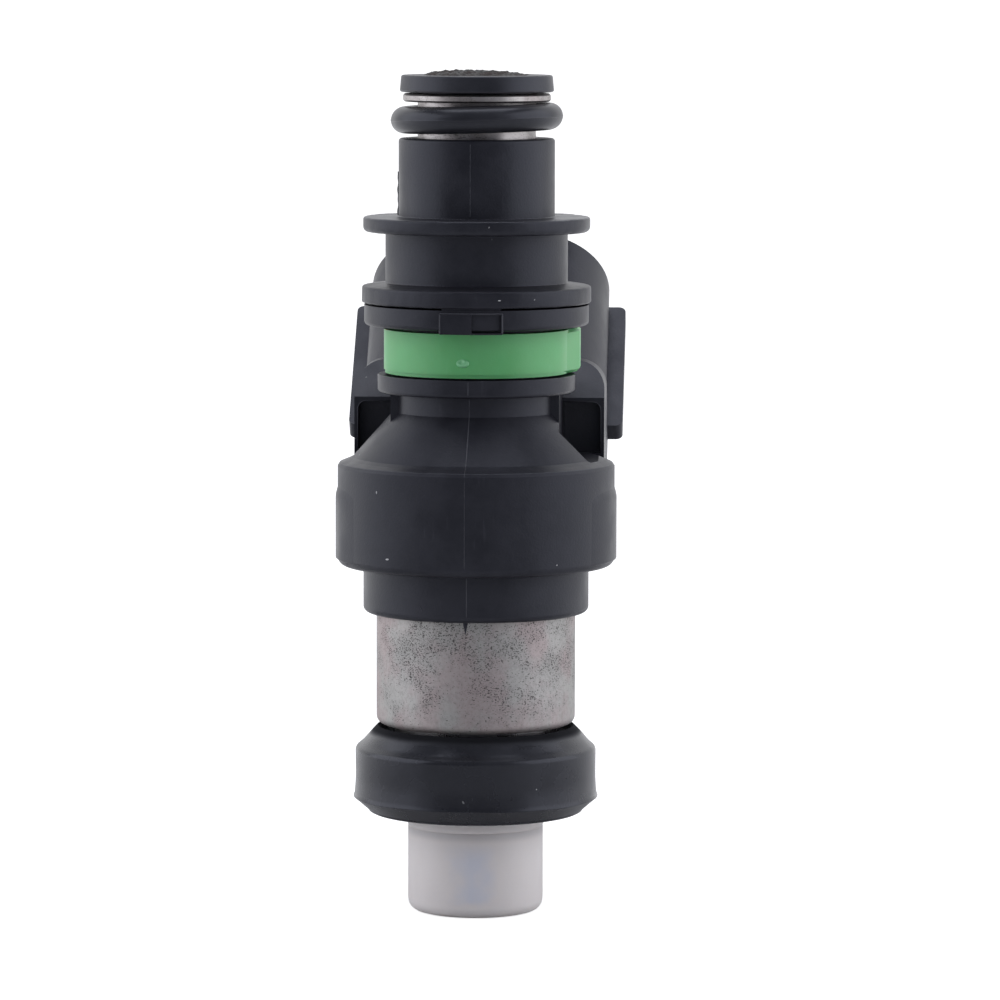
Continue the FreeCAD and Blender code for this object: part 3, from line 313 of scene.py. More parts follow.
# ---- Inlet tube and inner steel -----------------------------------------------------------
# Deep-drawn stainless tube with a rolled flange, and the turned steel pieces inside: bright,
# with fine turning lines round the axis. The housing's duller steel comes from this group too.


def steel_group():
    """Bare steel: turning lines round the axis, slow tint, small dark pits and light wipes."""
    board, takes, gives = make_group(
        "bare_steel",
        [("Base", "NodeSocketColor", (0.6, 0.6, 0.6, 1)), ("Tint", "NodeSocketColor", (0.6, 0.5, 0.5, 1)),
         ("Pitting", "NodeSocketFloat", 0.0), ("Lines", "NodeSocketFloat", 1.0),
         ("Rough", "NodeSocketFloat", 0.3), ("Clean Below", "NodeSocketFloat", -1.0)],
        [("Colour", "NodeSocketColor"), ("Roughness", "NodeSocketFloat"), ("Height", "NodeSocketFloat")],
    )
    place = board.add("ShaderNodeTexCoord").outputs["Object"]
    round_place = board.stretch(place, 0.02, 0.02, 1.0)
    lines = board.noise(round_place, 9000.0, 3.0)
    tint = board.noise(place, 190.0, 3.0, 0.6)
    cloud = board.noise(place, 330.0, 4.0, 0.6)
    level = board.add("ShaderNodeSeparateXYZ", Vector=place).outputs[2]
    ragged = board.math("ADD", level, board.math("MULTIPLY", cloud, 0.006))
    soiled = board.step(board.math("SUBTRACT", ragged, takes["Clean Below"]), 0.0, 0.005)
    fine = board.noise(board.stretch(place, 1.0, 1.0, 1.5), 6800.0, 1.0, 0.5)
    few = board.math("MULTIPLY", board.step(cloud, 0.32, 0.62, 0.15, 1.0), soiled)
    limit = board.step(few, 0.0, 1.0, 0.7, 0.565)
    pits = board.step(board.math("SUBTRACT", fine, limit), 0.0, 0.06)
    pits = board.math("MULTIPLY", pits, takes["Pitting"], clamp=True)
    colour = board.mix(board.step(tint, 0.4, 0.6), takes["Base"], takes["Tint"])
    streak = board.noise(board.stretch(place, 1.0, 1.0, 0.12), 1500.0, 3.0, 0.6)
    colour = board.mix(board.step(streak, 0.55, 0.75, 0.0, 0.1), colour, (0.5, 0.49, 0.48, 1))
    wiped = board.step(board.noise(board.stretch(place, 1.0, 1.0, 0.5), 170.0, 1.0), 0.5, 0.68, 0.0, 0.12)
    colour = board.mix(wiped, colour, (0.5, 0.48, 0.48, 1))
    mottled = board.step(board.noise(place, 3200.0, 4.0, 0.65), 0.42, 0.66, 0.0, 0.3)
    dulled = board.math("MULTIPLY", mottled, takes["Pitting"])
    colour = board.mix(dulled, colour, (0.13, 0.12, 0.115, 1))
    colour = board.mix(pits, colour, (0.07, 0.064, 0.062, 1))
    board.feed(gives["Colour"], colour)
    rough = board.math("ADD", takes["Rough"], board.step(cloud, 0.3, 0.7, -0.06, 0.08))
    rough = board.math("ADD", rough, board.math("MULTIPLY", pits, 0.3), clamp=True)
    board.feed(gives["Roughness"], rough)
    height = board.math("MULTIPLY", lines, takes["Lines"])
    height = board.math("SUBTRACT", height, board.math("MULTIPLY", pits, 1.6))
    board.feed(gives["Height"], height)
    return board.tree


steel = steel_group()


def steel_finish(name, base, tint, rough=0.3, pitting=0.0, lines=1.0, relief=8e-6, clean_below=-1.0):
    """Material of bare or plated metal. Its pits thin out round the level clean_below, in
    metres, and 3 mm further down hardly any are left."""
    made = bpy.data.materials.new(name)
    made.use_nodes = True
    board = Board(made.node_tree)
    shader = made.node_tree.nodes["Principled BSDF"]
    surface = board.add("ShaderNodeGroup", {"node_tree": steel})
    settings = {"Base": (*base, 1), "Tint": (*tint, 1), "Pitting": pitting, "Lines": lines, "Rough": rough}
    settings["Clean Below"] = clean_below
    for key, value in settings.items():
        surface.inputs[key].default_value = value
    board.feed(shader.inputs["Base Color"], surface.outputs["Colour"])
    board.feed(shader.inputs["Roughness"], surface.outputs["Roughness"])
    shader.inputs["Metallic"].default_value = 1.0
    bump = board.add("ShaderNodeBump", Height=surface.outputs["Height"], Distance=relief, Strength=1.0)
    board.feed(shader.inputs["Normal"], bump.outputs[0])
    return made


bright_steel = steel_finish("bright_steel", (0.4, 0.39, 0.385), (0.31, 0.3, 0.305), rough=0.28)
for name in ("non_magnetic_ring", "needle_tube", "valve_body", "valve_seat", "orifice_plate"):
    dress(nodes[name], bright_steel)
tube_steel = steel_finish("tube_steel", (0.38, 0.36, 0.35), (0.26, 0.235, 0.23), rough=0.36, pitting=0.4)
dress(nodes["inlet_tube"], tube_steel)
core_steel = steel_finish("core_steel", (0.45, 0.45, 0.47), (0.36, 0.36, 0.38), rough=0.38, pitting=0.2)
for name in ("fixed_core", "adjusting_tube", "flux_washer", "armature"):
    dress(nodes[name], core_steel)
ball_steel = steel_finish("ball_steel", (0.7, 0.7, 0.72), (0.66, 0.66, 0.69), rough=0.08, lines=0.1)
dress(nodes["valve_ball"], ball_steel)


# ---- Rail O-ring --------------------------------------------------------------------------
# Round black rubber ring stretched over the inlet tube. It has a fine mould line round its
# outside, and it sits a little tilted, because it hasn't been pushed into a rail yet.


def o_ring(name, ring_r, section_r, level, tilt_deg, line=0.045):
    """Ring: the section's circle at angle b, with a small ridge at b = 0, carried round at
    angle a. The ring's height rises by x times the tilt, so that one side sits higher."""
    a = np.linspace(0, 2 * np.pi, 192, endpoint=False)[None, :]
    b = np.concatenate([np.linspace(-0.12, 0.12, 9), np.linspace(0.2, 2 * np.pi - 0.2, 46)])[:, None]
    ridge = line * np.exp(-((np.angle(np.exp(1j * b)) / 0.035) ** 2))
    section = section_r + ridge
    reach = ring_r + section * np.cos(b) + 0 * a
    x, y = reach * np.cos(a), reach * np.sin(a)
    z = level + section * np.sin(b) + x * np.tan(np.radians(tilt_deg))
    return skin(name, np.stack([x, y, z], -1) / 1000, close_across=True, close_along=True, soft_deg=180)


ring_rubber = moulded_finish(
    "ring_rubber", (0.013, 0.013, 0.016), (0.05, 0.05, 0.056), rough=0.32, rub=0.5, dust=0.7, grain=9000.0,
    relief=8e-6, Specular_IOR_Level=0.36, Specular_Tint=cool_gloss,
)
ring_low, ring_high = sides("upper_o_ring")
free_section_r = (ring_high[2] - ring_low[2]) / 2
ring_level = ring_low[2] + free_section_r
# The mould line and the tilt take a little room inside the free ring's box.
ring_r = ring_high[0] - free_section_r - 0.03
section_r = free_section_r - 0.02
rail_ring = o_ring("rail_o_ring", ring_r, section_r, ring_level, tilt_deg=1.6)
dress(rail_ring, ring_rubber)
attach(rail_ring, "injector")
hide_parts("upper_o_ring")


# ---- Plastic bodies -----------------------------------------------------------------------
# Glass-filled black nylon, moulded over the steel. The upper body carries the clip groove
# and snaps on with a tongue. The main body ends in the oval plug shroud.


def nylon(name):
    """The black nylon of both bodies. Each call makes a new material, to be recoloured alone."""
    return moulded_finish(
        name, (0.0125, 0.0125, 0.0165), (0.05, 0.05, 0.06), rough=0.4, rub=0.35, dust=0.8, relief=1.6e-5,
        Specular_IOR_Level=0.32, Specular_Tint=cool_gloss,
    )


def recolour(material, share_of, colour):
    """Mix a material's own colour with another one, by the share that share_of(board, place,
    x, y, z) gives."""
    board = Board(material.node_tree)
    shader = material.node_tree.nodes["Principled BSDF"]
    plain = shader.inputs["Base Color"].links[0].from_socket
    place = board.add("ShaderNodeTexCoord").outputs["Object"]
    x, y, z = board.add("ShaderNodeSeparateXYZ", Vector=place).outputs[:]
    tone = board.mix(share_of(board, place, x, y, z), plain, (*colour, 1))
    board.feed(shader.inputs["Base Color"], tone)


def below(board, value, level, fade):
    """Share that falls from 1 to 0 as a length in metres goes from level less fade to level,
    which are in mm."""
    return board.step(value, (level - fade) / 1000, level / 1000, 1.0, 0.0)


def above(board, value, level, fade):
    """Share that rises from 0 to 1 as a length in metres goes from level less fade to level,
    which are in mm."""
    return board.step(value, (level - fade) / 1000, level / 1000)


black_nylon = nylon("black_nylon")
body_nylon = nylon("body_nylon")

# The main body's levels go up from the sleeve's lower edge, and the barrel is its widest part.
sleeve_low = sides("body_overmould")[0][2]
barrel_low, barrel_top, shoulder = sleeve_low + 3.98, sleeve_low + 12.67, sleeve_low + 13.18
stem_low, collar_low, collar_top = sleeve_low + 17.01, sleeve_low + 18.67, sleeve_low + 20.15
sleeve_r, barrel_r, cone_r, stem_r, collar_r = 9.53, 11.71, 10.41, 7.03, 8.36
mouth_top, mouth_out, mouth_y, mouth_round = sleeve_low + 17.44, 10.4, 4.93, 0.7


def pocket_painted_light(board, place, x, y, z):
    """Painted light: the two recesses beside the stem are painted lighter, clear of the outer faces."""
    off_axis = board.math("ABSOLUTE", x)
    beside = above(board, off_axis, stem_r + 0.37, 0.4)
    inside = below(board, off_axis, mouth_out + 0.08, 0.06)
    behind = above(board, y, mouth_y + 0.67, 0.6)
    lower = below(board, z, mouth_top + 0.205, 0.2)
    across = board.math("MULTIPLY", beside, inside)
    share = board.math("MULTIPLY", across, board.math("MULTIPLY", behind, lower))
    return board.math("MULTIPLY", share, 0.8)


recolour(body_nylon, pocket_painted_light, (0.09, 0.09, 0.1))
dress(nodes["body_overmould"], body_nylon)

# The upper body's levels go down from the top of its neck.
neck_top = sides("upper_overmould")[1][2]
spigot_low = sides("upper_overmould")[0][2]
neck_r, groove_r, rim_r, flange_r = 6.59, 7.7, 9.58, 9.69
bore_r, spigot_r = 5.0, 6.0
ledge, rim_low = neck_top - 6.62, neck_top - 7.88
groove_low, flange_top, flange_low = neck_top - 12.15, neck_top - 12.44, neck_top - 13.84
neck_corners = [
    (bore_r, spigot_low, 0), (spigot_r, spigot_low, 0.05), (spigot_r, flange_low, 0),
    (flange_r - 0.1, flange_low, 0.06), (flange_r, flange_low + 0.1, 0.06), (flange_r, flange_top, 0.22),
    (groove_r, groove_low, 0.12), (groove_r, rim_low, 0.12), (rim_r, rim_low, 0.5), (rim_r, ledge, 0.24),
    (neck_r, ledge, 0.12), (neck_r, neck_top, 0.3), (bore_r, neck_top, 0),
]


def scuffed(grid, a):
    """Handling has bruised the rims: the outer skin moves by up to 0.03 mm. The wave is a
    product of two sines of the bearing, one of them turning with the height, plus a finer one."""
    x, y, z = grid[..., 0], grid[..., 1], grid[..., 2]
    outer = np.clip((np.hypot(x, y) - groove_r - 1.2) / 0.5, 0, 1)
    wave = np.sin(17 * a + 4 * z) * np.sin(5 * a + 1.2) + 0.6 * np.sin(41 * a - 7 * z)
    share = 1 - outer * 0.0016 * np.clip(wave, 0, 2)
    return np.stack([x * share, y * share, z + outer * 0.012 * wave], -1)


def sector(name, corners, low_deg, high_deg, steps=4):
    """Bar bent round the axis: the outline's points (r, z) carried from one bearing to the
    other. Both ends close on the outline's middle."""
    section = outline(corners, steps)
    a = np.radians(np.linspace(low_deg, high_deg, 25))[:, None]
    r, z = section[None, :, 0], section[None, :, 1]
    grid = np.stack([r * np.cos(a), r * np.sin(a), z + 0 * a], -1)
    middle = grid.mean(axis=1, keepdims=True) + 0 * grid
    grid = np.concatenate([middle[:1], grid, middle[-1:]])
    return skin(name, grid / 1000, close_across=True)


clip_nylon = nylon("clip_nylon")


def ledge_scuffs_and_top_light(board, place, x, y, z):
    """Dust, scuffs and a painted highlight of the light from above lighten the clip flange's upper face,
    unevenly, at its two sides.
    """
    not_over = below(board, z, ledge + 0.2, 0.15)
    near = board.math("MULTIPLY", above(board, z, ledge - 0.04, 0.08), not_over)
    beside = above(board, board.math("ABSOLUTE", x), 7.2, 1.4)
    near = board.math("MULTIPLY", near, beside)
    return board.math("MULTIPLY", near, board.step(board.noise(place, 1500.0, 3.0), 0.35, 0.65, 0.3, 1.0))


recolour(clip_nylon, ledge_scuffs_and_top_light, (0.11, 0.11, 0.12))
clip_neck = turned("clip_neck", neck_corners, around=256, steps=6, wobble=scuffed)
tongue_in, tongue_r, tongue_half_deg = 8.05, 9.38, 15.3
tongue_low, tongue_top = neck_top - 15.7, flange_low + 0.04
tongue_corners = [
    (tongue_in, tongue_low, 0.1), (tongue_r, tongue_low, 0.1), (tongue_r, tongue_top, 0),
    (tongue_in, tongue_top, 0),
]
front = -90
tongue = sector("snap_tongue", tongue_corners, front - tongue_half_deg, front + tongue_half_deg)
for piece in (clip_neck, tongue):
    dress(piece, clip_nylon)
    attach(piece, "injector")
    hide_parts("upper_overmould")


def ridge_line(name, path, half_w=0.06, proud=0.04, taper=0.0):
    """Mould line: a low rounded ridge along a path of (bearing in degrees, radius, height in
    mm). Its height is proud times cos squared of the share across it, wandering by a quarter,
    less a foot of 0.02 in the plastic. Its width shrinks by taper from start to end."""
    path = np.array(path, float)
    turn = np.radians(path[:, 0])
    steps = np.diff(np.stack([path[:, 1] * turn, path[:, 1], path[:, 2]], 1), axis=0)
    reach = np.concatenate([[0], np.cumsum(np.linalg.norm(steps, axis=1))])
    t = np.linspace(0, reach[-1], max(12, int(reach[-1] / 0.12)))
    angle, r, z = (np.interp(t, reach, row) for row in (turn, path[:, 1], path[:, 2]))
    line = np.stack([r * np.cos(angle), r * np.sin(angle), z], 1)
    along = np.gradient(line, axis=0)
    outward = np.stack([np.cos(angle), np.sin(angle), 0 * angle], 1)
    across = np.cross(along, outward)
    across /= np.linalg.norm(across, axis=1, keepdims=True)
    normal = np.cross(across, along)
    normal /= np.linalg.norm(normal, axis=1, keepdims=True)
    u = np.linspace(-1, 1, 9)
    half = half_w * (1 - taper * t / reach[-1])
    wander = 1 + 0.25 * np.sin(t * 5.1) * np.sin(t * 1.7 + 0.6)
    rise = (proud * np.cos(u * np.pi / 2) ** 2)[None, :] * wander[:, None] - 0.02
    grid = line[:, None] + across[:, None] * (half[:, None] * u[None, :])[..., None]
    grid = grid + normal[:, None] * rise[..., None]
    ends = grid[[0, -1]].mean(axis=1, keepdims=True) + 0 * grid[[0, -1]]
    grid = np.concatenate([ends[:1], grid, ends[1:]])
    return skin(name, grid / 1000, close_across=True, soft_deg=100)


# Lighter than the black nylon: on the sleeve's scratch this is wear, and on the mould lines, the rims, the
# boss edges and the pocket beads it is a painted highlight.
wear_and_highlight_nylon = moulded_finish(
    "wear_and_highlight_nylon", (0.03, 0.03, 0.036), (0.09, 0.09, 0.1), rough=0.36, rub=0.5, dust=0.6,
    Specular_IOR_Level=0.4, Specular_Tint=cool_gloss,
)
parting = front - 2
boss_r, boss_turn = 9.69, 15.6
boss_left, boss_right = front - boss_turn, front + boss_turn
boss_low, boss_high = neck_top - 15.94, neck_top - 14.255
thin = {"half_w": 0.045, "proud": 0.035}
clear = {"half_w": 0.06, "proud": 0.06}
seam_runs = {
    "seam_upper_neck": ([(neck_r, ledge + 0.17), (neck_r, neck_top - 0.3)], thin),
    "seam_collar": ([(collar_r, collar_low + 0.275), (collar_r, collar_top - 0.055)], {}),
    "seam_cone": (
        [(stem_r, collar_low - 0.025), (stem_r, stem_low + 0.035), (cone_r, shoulder + 0.025)],
        thin,
    ),
    "seam_barrel": (
        [(cone_r, shoulder + 0.025), (cone_r + 0.45, barrel_top + 0.285),
         (barrel_r - 0.18, barrel_top + 0.015), (barrel_r, barrel_top - 0.255),
         (barrel_r + 0.01, barrel_low + 0.865), (barrel_r - 0.16, barrel_low + 0.315)],
        clear,
    ),
    "seam_sleeve": ([(sleeve_r + 0.03, barrel_low - 0.135), (sleeve_r + 0.03, sleeve_low + 0.545)], {}),
}
ridges = [ridge_line(name, [(parting, *at) for at in run], **size) for name, (run, size) in seam_runs.items()]
rim_path = [(-168, barrel_r - 0.17, barrel_top), (-12, barrel_r - 0.17, barrel_top)]
scratch_r, scratch_z = sleeve_r + 0.01, sleeve_low + 0.845
scratch_path = [(-116.6, scratch_r, scratch_z + 0.6), (-116, scratch_r, scratch_z + 0.3)]
scratch_path += [(-115, scratch_r, scratch_z)]
collar_path = [(-176, collar_r - 0.02, collar_top - 0.015), (-4, collar_r - 0.02, collar_top - 0.015)]
ridges += [
    ridge_line("barrel_rim", rim_path, **thin),
    ridge_line("sleeve_scratch", scratch_path, **clear),
    ridge_line("boss_edge_left", [(boss_left, boss_r, boss_low), (boss_left, boss_r, boss_high)], **clear),
    ridge_line("boss_edge_right", [(boss_right, boss_r, boss_low), (boss_right, boss_r, boss_high)], **clear),
    ridge_line("boss_edge_top", [(boss_left, boss_r, boss_high), (boss_right, boss_r, boss_high)], **clear),
    ridge_line("collar_edge_top", collar_path, **thin),
]


def bead(name, path, radius=0.05):
    """Fine round bead along a path of points in mm, to show a mouth's edge; its lighter colour is a painted
    highlight. The ring of eight points at each step lies across the path, and both ends close on the path."""
    path = np.array(path, float)
    along = np.gradient(path, axis=0)
    along /= np.linalg.norm(along, axis=1, keepdims=True)
    side = np.cross(along, [0.0, 1.0, 0.0])
    side /= np.linalg.norm(side, axis=1, keepdims=True)
    other = np.cross(along, side)
    b = np.linspace(0, 2 * np.pi, 8, endpoint=False)
    ring = side[:, None] * np.cos(b)[None, :, None] + other[:, None] * np.sin(b)[None, :, None]
    grid = path[:, None] + radius * ring
    grid = np.concatenate([path[:1, None] + 0 * grid[:1], grid, path[-1:, None] + 0 * grid[-1:]])
    return skin(name, grid / 1000, close_across=True, soft_deg=180)


for side_name, sign in (("left", -1), ("right", 1)):
    q = np.linspace(0, np.pi / 2, 8)
    curve = [(sign * (mouth_out - mouth_round + mouth_round * math.sin(k)), mouth_y,
              mouth_top - mouth_round + mouth_round * math.cos(k)) for k in q]
    path = [(sign * 7.2, mouth_y, mouth_top)] + curve + [(sign * mouth_out, mouth_y, shoulder + 0.365)]
    ridges.append(bead("pocket_edge_" + side_name, path))


def eased(t):
    """Smooth step from 0 to 1: 3 t squared less 2 t cubed."""
    t = np.clip(t, 0, 1)
    return t**2 * (3 - 2 * t)


def swell(name, middle_deg):
    """Rounded swelling over the barrel's side pad: the radius rises by a smooth step in from
    each side of the bearing and up from each end of the height. The inner wall closes it."""
    half_deg, flat_deg, sunk, proud, wall = 40, 14, 0.03, 0.205, 0.31
    foot, top = barrel_low + 0.465, barrel_top - 1.625
    turn = np.linspace(-half_deg - 2, half_deg + 2, 85)[None, :]
    z = np.concatenate([np.linspace(foot - 0.05, foot + 0.25, 9), np.linspace(foot + 0.4, top + 0.2, 50)])
    z = z[:, None]
    sideways = eased((half_deg - np.abs(turn)) / (half_deg - flat_deg))
    rise = sideways * eased((z - foot) / 0.19) * eased((top - z) / 1.3)
    outer = barrel_r - sunk + (sunk + proud) * rise
    reach = np.concatenate([outer, barrel_r - wall + 0 * outer], axis=1)
    angle = np.radians(middle_deg + np.concatenate([turn, turn[:, ::-1]], axis=1))
    grid = np.stack([reach * np.cos(angle), reach * np.sin(angle), z + 0 * reach], -1)
    ends = grid[[0, -1]].mean(axis=1, keepdims=True) + 0 * grid[[0, -1]]
    return skin(name, np.concatenate([ends[:1], grid, ends[1:]]) / 1000, close_across=True)


for side_name, middle in (("left", 180), ("right", 0)):
    pad = swell("barrel_swell_" + side_name, middle)
    dress(pad, body_nylon)
    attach(pad, "injector")
for ridge in ridges:
    dress(ridge, wear_and_highlight_nylon)
    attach(ridge, "injector")
under_path = [(front - 3.2, 8.42, sleeve_low + 0.025), (front - 3.2, 8.42, sleeve_low - 1.055)]
beside_path = [(-180, neck_r - 0.04, ledge + 0.075), (-180, neck_r - 0.04, ledge + 3.775)]
flashes = [
    ridge_line("flash_under_sleeve", under_path, half_w=0.36, proud=0.1, taper=0.93),
    ridge_line("flash_left_of_neck", beside_path, half_w=0.1, proud=0.16, taper=0.5),
]
for flash in flashes:
    dress(flash, black_nylon)
    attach(flash, "injector")


# ---- Colour ring --------------------------------------------------------------------------
# Green nylon ring, open at the back, snapped on between flange and collar to tell the flow
# size. It has a broken-off gate mark on its face.

green_nylon = moulded_finish(
    "green_nylon", (0.115, 0.45, 0.15), (0.2, 0.56, 0.25), rough=0.42, rub=0.25, dust=0.1, relief=1.2e-5,
    Subsurface_Weight=0.15, Subsurface_Scale=0.0008,
)
dress(nodes["colour_ring"], green_nylon)


def nub(name, ring_r, level, bearing_deg, half_w, half_h, proud, bite=0.9):
    """Torn nub or flake on a round face: a low oval whose height falls with the distance from
    its middle and is bitten away on its upper left. A foot inside the face closes it."""
    share = np.linspace(0, 1, 12)[:, None]
    turn = np.linspace(0, 2 * np.pi, 36, endpoint=False)[None, :]
    across, up = half_w * share * np.cos(turn), half_h * share * np.sin(turn)
    gap = np.exp(-((across / half_w + 0.3) / 0.43) ** 2 - ((up / half_h - 0.45) / 0.5) ** 2)
    rise = proud * np.sqrt(np.clip(1 - share**2, 0, 1)) * (1 - bite * gap) - 0.02
    angle = math.radians(bearing_deg) + across / ring_r
    reach = ring_r + rise
    grid = np.stack([reach * np.cos(angle), reach * np.sin(angle), level + up], -1)
    foot = grid[:1] * [0.99, 0.99, 1.0]
    return skin(name, np.concatenate([grid, foot]) / 1000, close_across=True, soft_deg=60)


gate_level = sides("colour_ring")[0][2] + 1.275
gate = nub("ring_gate", 7.82, gate_level, front - 5.6, 0.56, 0.36, 0.28)
torn_nylon = moulded_finish(
    "torn_nylon", (0.2, 0.56, 0.26), (0.4, 0.7, 0.45), rough=0.35, rub=0.6, dust=0.0, relief=4e-5,
)
dress(gate, torn_nylon)
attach(gate, "injector")
flake_white = moulded_finish("flake_white", (0.5, 0.5, 0.5), (0.7, 0.7, 0.7), rough=0.6)
flakes = [
    nub("flake_barrel_left", barrel_r, barrel_low + 1.365, -126.3, 0.2, 0.1, 0.09, bite=0.4),
    nub("flake_barrel_right", barrel_r, barrel_low + 0.965, -52.3, 0.09, 0.07, 0.07, bite=0.4),
    nub("flake_flange", flange_r, flange_low + 0.695, -76.0, 0.13, 0.05, 0.06, bite=0.4),
]
for flake in flakes:
    dress(flake, flake_white)
    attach(flake, "injector")


# ---- Steel housing ------------------------------------------------------------------------
# Drawn steel shell of the magnet, bare between the sleeve and the seal. Its thin dull
# plating is pitted and faintly stained, and cleaner at the foot.

housing_steel = steel_finish(
    "housing_steel", (0.39, 0.383, 0.37), (0.4, 0.35, 0.345), rough=0.6, pitting=0.65, lines=0.6,
    relief=1.2e-5, clean_below=0.006,
)
dress(nodes["steel_housing"], housing_steel)


# ---- Manifold seal and its retainer -------------------------------------------------------
# Thick moulded rubber ring with sloped ends and a thin flash lip where its mould halves met.
# A split nylon snap ring under it keeps it on the nozzle.

seal_rubber = moulded_finish(
    "seal_rubber", (0.014, 0.014, 0.0165), (0.045, 0.045, 0.052), rough=0.27, rub=0.35, dust=0.9,
    grain=4200.0, relief=1.0e-5, Specular_IOR_Level=0.36, Specular_Tint=cool_gloss,
)
seal_foot = sides("manifold_seal")[0][2] + 0.005
seal_rim = sides("manifold_seal")[1][2] - 0.035
seal_bore_r, wall_r, lip_r, lip_level = 6.92, 10.2, 10.4, -2.12


def shade_beside_the_housing(board, place, x, y, z):
    """Share 1 on the inner rim beside the housing, which is painted black as shade, and its rubber is made
    dull.
    """
    flat = board.add("ShaderNodeCombineXYZ", X=x, Y=y, Z=0.0).outputs[0]
    reach = board.add("ShaderNodeVectorMath", {"operation": "LENGTH"}, i0=flat).outputs[1]
    band = board.math("MULTIPLY", below(board, reach, 9.1, 0.5), above(board, z, 3.0, 0.5))
    shader = board.tree.nodes["Principled BSDF"]
    plain_rough = shader.inputs["Roughness"].links[0].from_socket
    dulled = board.math("ADD", plain_rough, board.math("MULTIPLY", band, 0.7), clamp=True)
    board.feed(shader.inputs["Roughness"], dulled)
    return band


recolour(seal_rubber, shade_beside_the_housing, (0.003, 0.003, 0.0035))
seal_corners = [
    (seal_bore_r, seal_foot, 0.2), (8.87, seal_foot, 0.15), (9.0, seal_foot + 0.16, 0.02),
    (9.08, seal_foot + 0.12, 0.02), (9.16, seal_foot + 0.26, 0.04), (lip_r - 0.26, lip_level - 0.2, 0),
    (lip_r, lip_level, 0.03), (lip_r - 0.1, lip_level + 0.27, 0.2), (wall_r, -0.6, 1.0),
    (wall_r + 0.02, 1.9, 0.12), (wall_r - 0.1, 2.14, 0.1), (9.65, 2.5, 0.4), (8.9, 3.36, 0.5),
    (8.3, seal_rim, 0.1), (7.9, 3.3, 0.1), (seal_bore_r, 3.2, 0.2),
]


def squeezed(grid, a):
    """The lip wanders a little up and down round the ring, as trimmed rubber does, and the
    upper slope is slightly hollow in places."""
    z = grid[..., 2].copy()
    lip = np.exp(-((z - lip_level - 0.02) / 0.35) ** 2)
    slope = np.exp(-((z - 3.1) / 0.5) ** 2)
    grid[..., 2] += lip * (0.035 * np.sin(3 * a + 0.4) + 0.02 * np.sin(11 * a))
    grid[..., 2] += slope * (0.03 * np.sin(5 * a + 1.0) + 0.02 * np.sin(9 * a + 0.3))
    return grid


seal = turned("manifold_seal_ring", seal_corners, steps=6, wobble=squeezed)
dress(seal, seal_rubber)
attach(seal, "injector")
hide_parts("manifold_seal")
retainer_nylon = moulded_finish("retainer_nylon", (0.03, 0.03, 0.034), (0.08, 0.08, 0.085), rough=0.5)
dress(nodes["seal_retainer"], retainer_nylon)


# ---- Nozzle cap ---------------------------------------------------------------------------
# Milky polythene cap pushed over the nozzle for transit, with a rolled rim and thick walls.
# It rides on the body that slides down off the nozzle.

cap_polythene = moulded_finish(
    "cap_polythene", (0.85, 0.785, 0.755), (0.9, 0.83, 0.8), rough=0.45, rub=0.2, dust=0.0, grain=2500.0,
    relief=1.5e-5, Subsurface_Weight=0.6, Subsurface_Scale=0.0015, Subsurface_Radius=(1.0, 0.95, 0.92),
)
cap_foot = sides("protective_cap")[0][2]
cap_rim = sides("protective_cap")[1][2] + 0.005
cap_floor, rim_under = cap_foot + 1.1, cap_rim - 0.9
cap_r, cap_rim_r, cap_bore_r = 5.75, 5.81, 4.95


def painted_nozzle_shade(board, place, x, y, z):
    """Painted shade of the nozzle behind the wall: a soft bluish patch round the middle, above the floor."""
    off_axis = board.math("ABSOLUTE", x)
    ragged = board.math("ADD", off_axis, board.math("MULTIPLY", board.noise(place, 420.0, 2.0), 0.0026))
    low = board.math("ADD", z, board.math("MULTIPLY", board.noise(place, 600.0, 1.0), 0.0014))
    over_floor, under_top = above(board, low, cap_floor + 1.36, 0.8), below(board, z, cap_rim - 1.42, 2.2)
    share = board.math("MULTIPLY", over_floor, under_top)
    share = board.math("MULTIPLY", share, below(board, ragged, 3.6, 2.2))
    return board.math("MULTIPLY", share, 0.4)


def painted_shade_under_rim(board, place, x, y, z):
    """Painted shade: the tight corner under the rolled rim is painted a little darker."""
    over, under = above(board, z, rim_under - 0.32, 0.8), below(board, z, rim_under - 0.12, 0.1)
    share = board.math("MULTIPLY", over, under)
    return board.math("MULTIPLY", share, 0.45)


def painted_pale_floor(board, place, x, y, z):
    """Painted light: the cap is painted paler at its solid floor, where less of its dark inside would show
    through.
    """
    wavy = board.math("ADD", z, board.math("MULTIPLY", board.noise(place, 260.0, 1.0), 0.0005))
    return board.math("MULTIPLY", below(board, wavy, cap_floor + 0.36, 0.3), 0.3)


recolour(cap_polythene, painted_nozzle_shade, (0.56, 0.66, 0.86))
recolour(cap_polythene, painted_shade_under_rim, (0.4, 0.39, 0.4))
recolour(cap_polythene, painted_pale_floor, (0.92, 0.86, 0.83))
cap_corners = [
    (0, cap_foot, 0), (cap_r, cap_foot, 1.2), (cap_r, rim_under - 0.27, 0.05),
    (cap_r - 0.05, rim_under - 0.14, 0.03), (cap_rim_r, rim_under, 0.05), (cap_rim_r, cap_rim, 0.15),
    (cap_bore_r, cap_rim, 0.1), (cap_bore_r, cap_floor, 0.4), (0, cap_floor, 0),
]
cap = turned("nozzle_cap", cap_corners, steps=8)
dress(cap, cap_polythene)
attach(cap, "cap")
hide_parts("protective_cap")


# ---- Plug blades --------------------------------------------------------------------------
# Two stamped brass blades with a tin plating, moulded into the body. They stand inside the
# shroud, so only their fronts can be seen.

tinned_brass = steel_finish("tinned_brass", (0.68, 0.66, 0.6), (0.62, 0.56, 0.44), rough=0.28, lines=0.4)
for name in ("terminal_left", "terminal_right"):
    dress(nodes[name], tinned_brass)


# ---- Coil ---------------------------------------------------------------------------------
# Enamelled copper wire in close turns on a brown nylon spool. Each turn of the outer layer
# shows as a round rib.

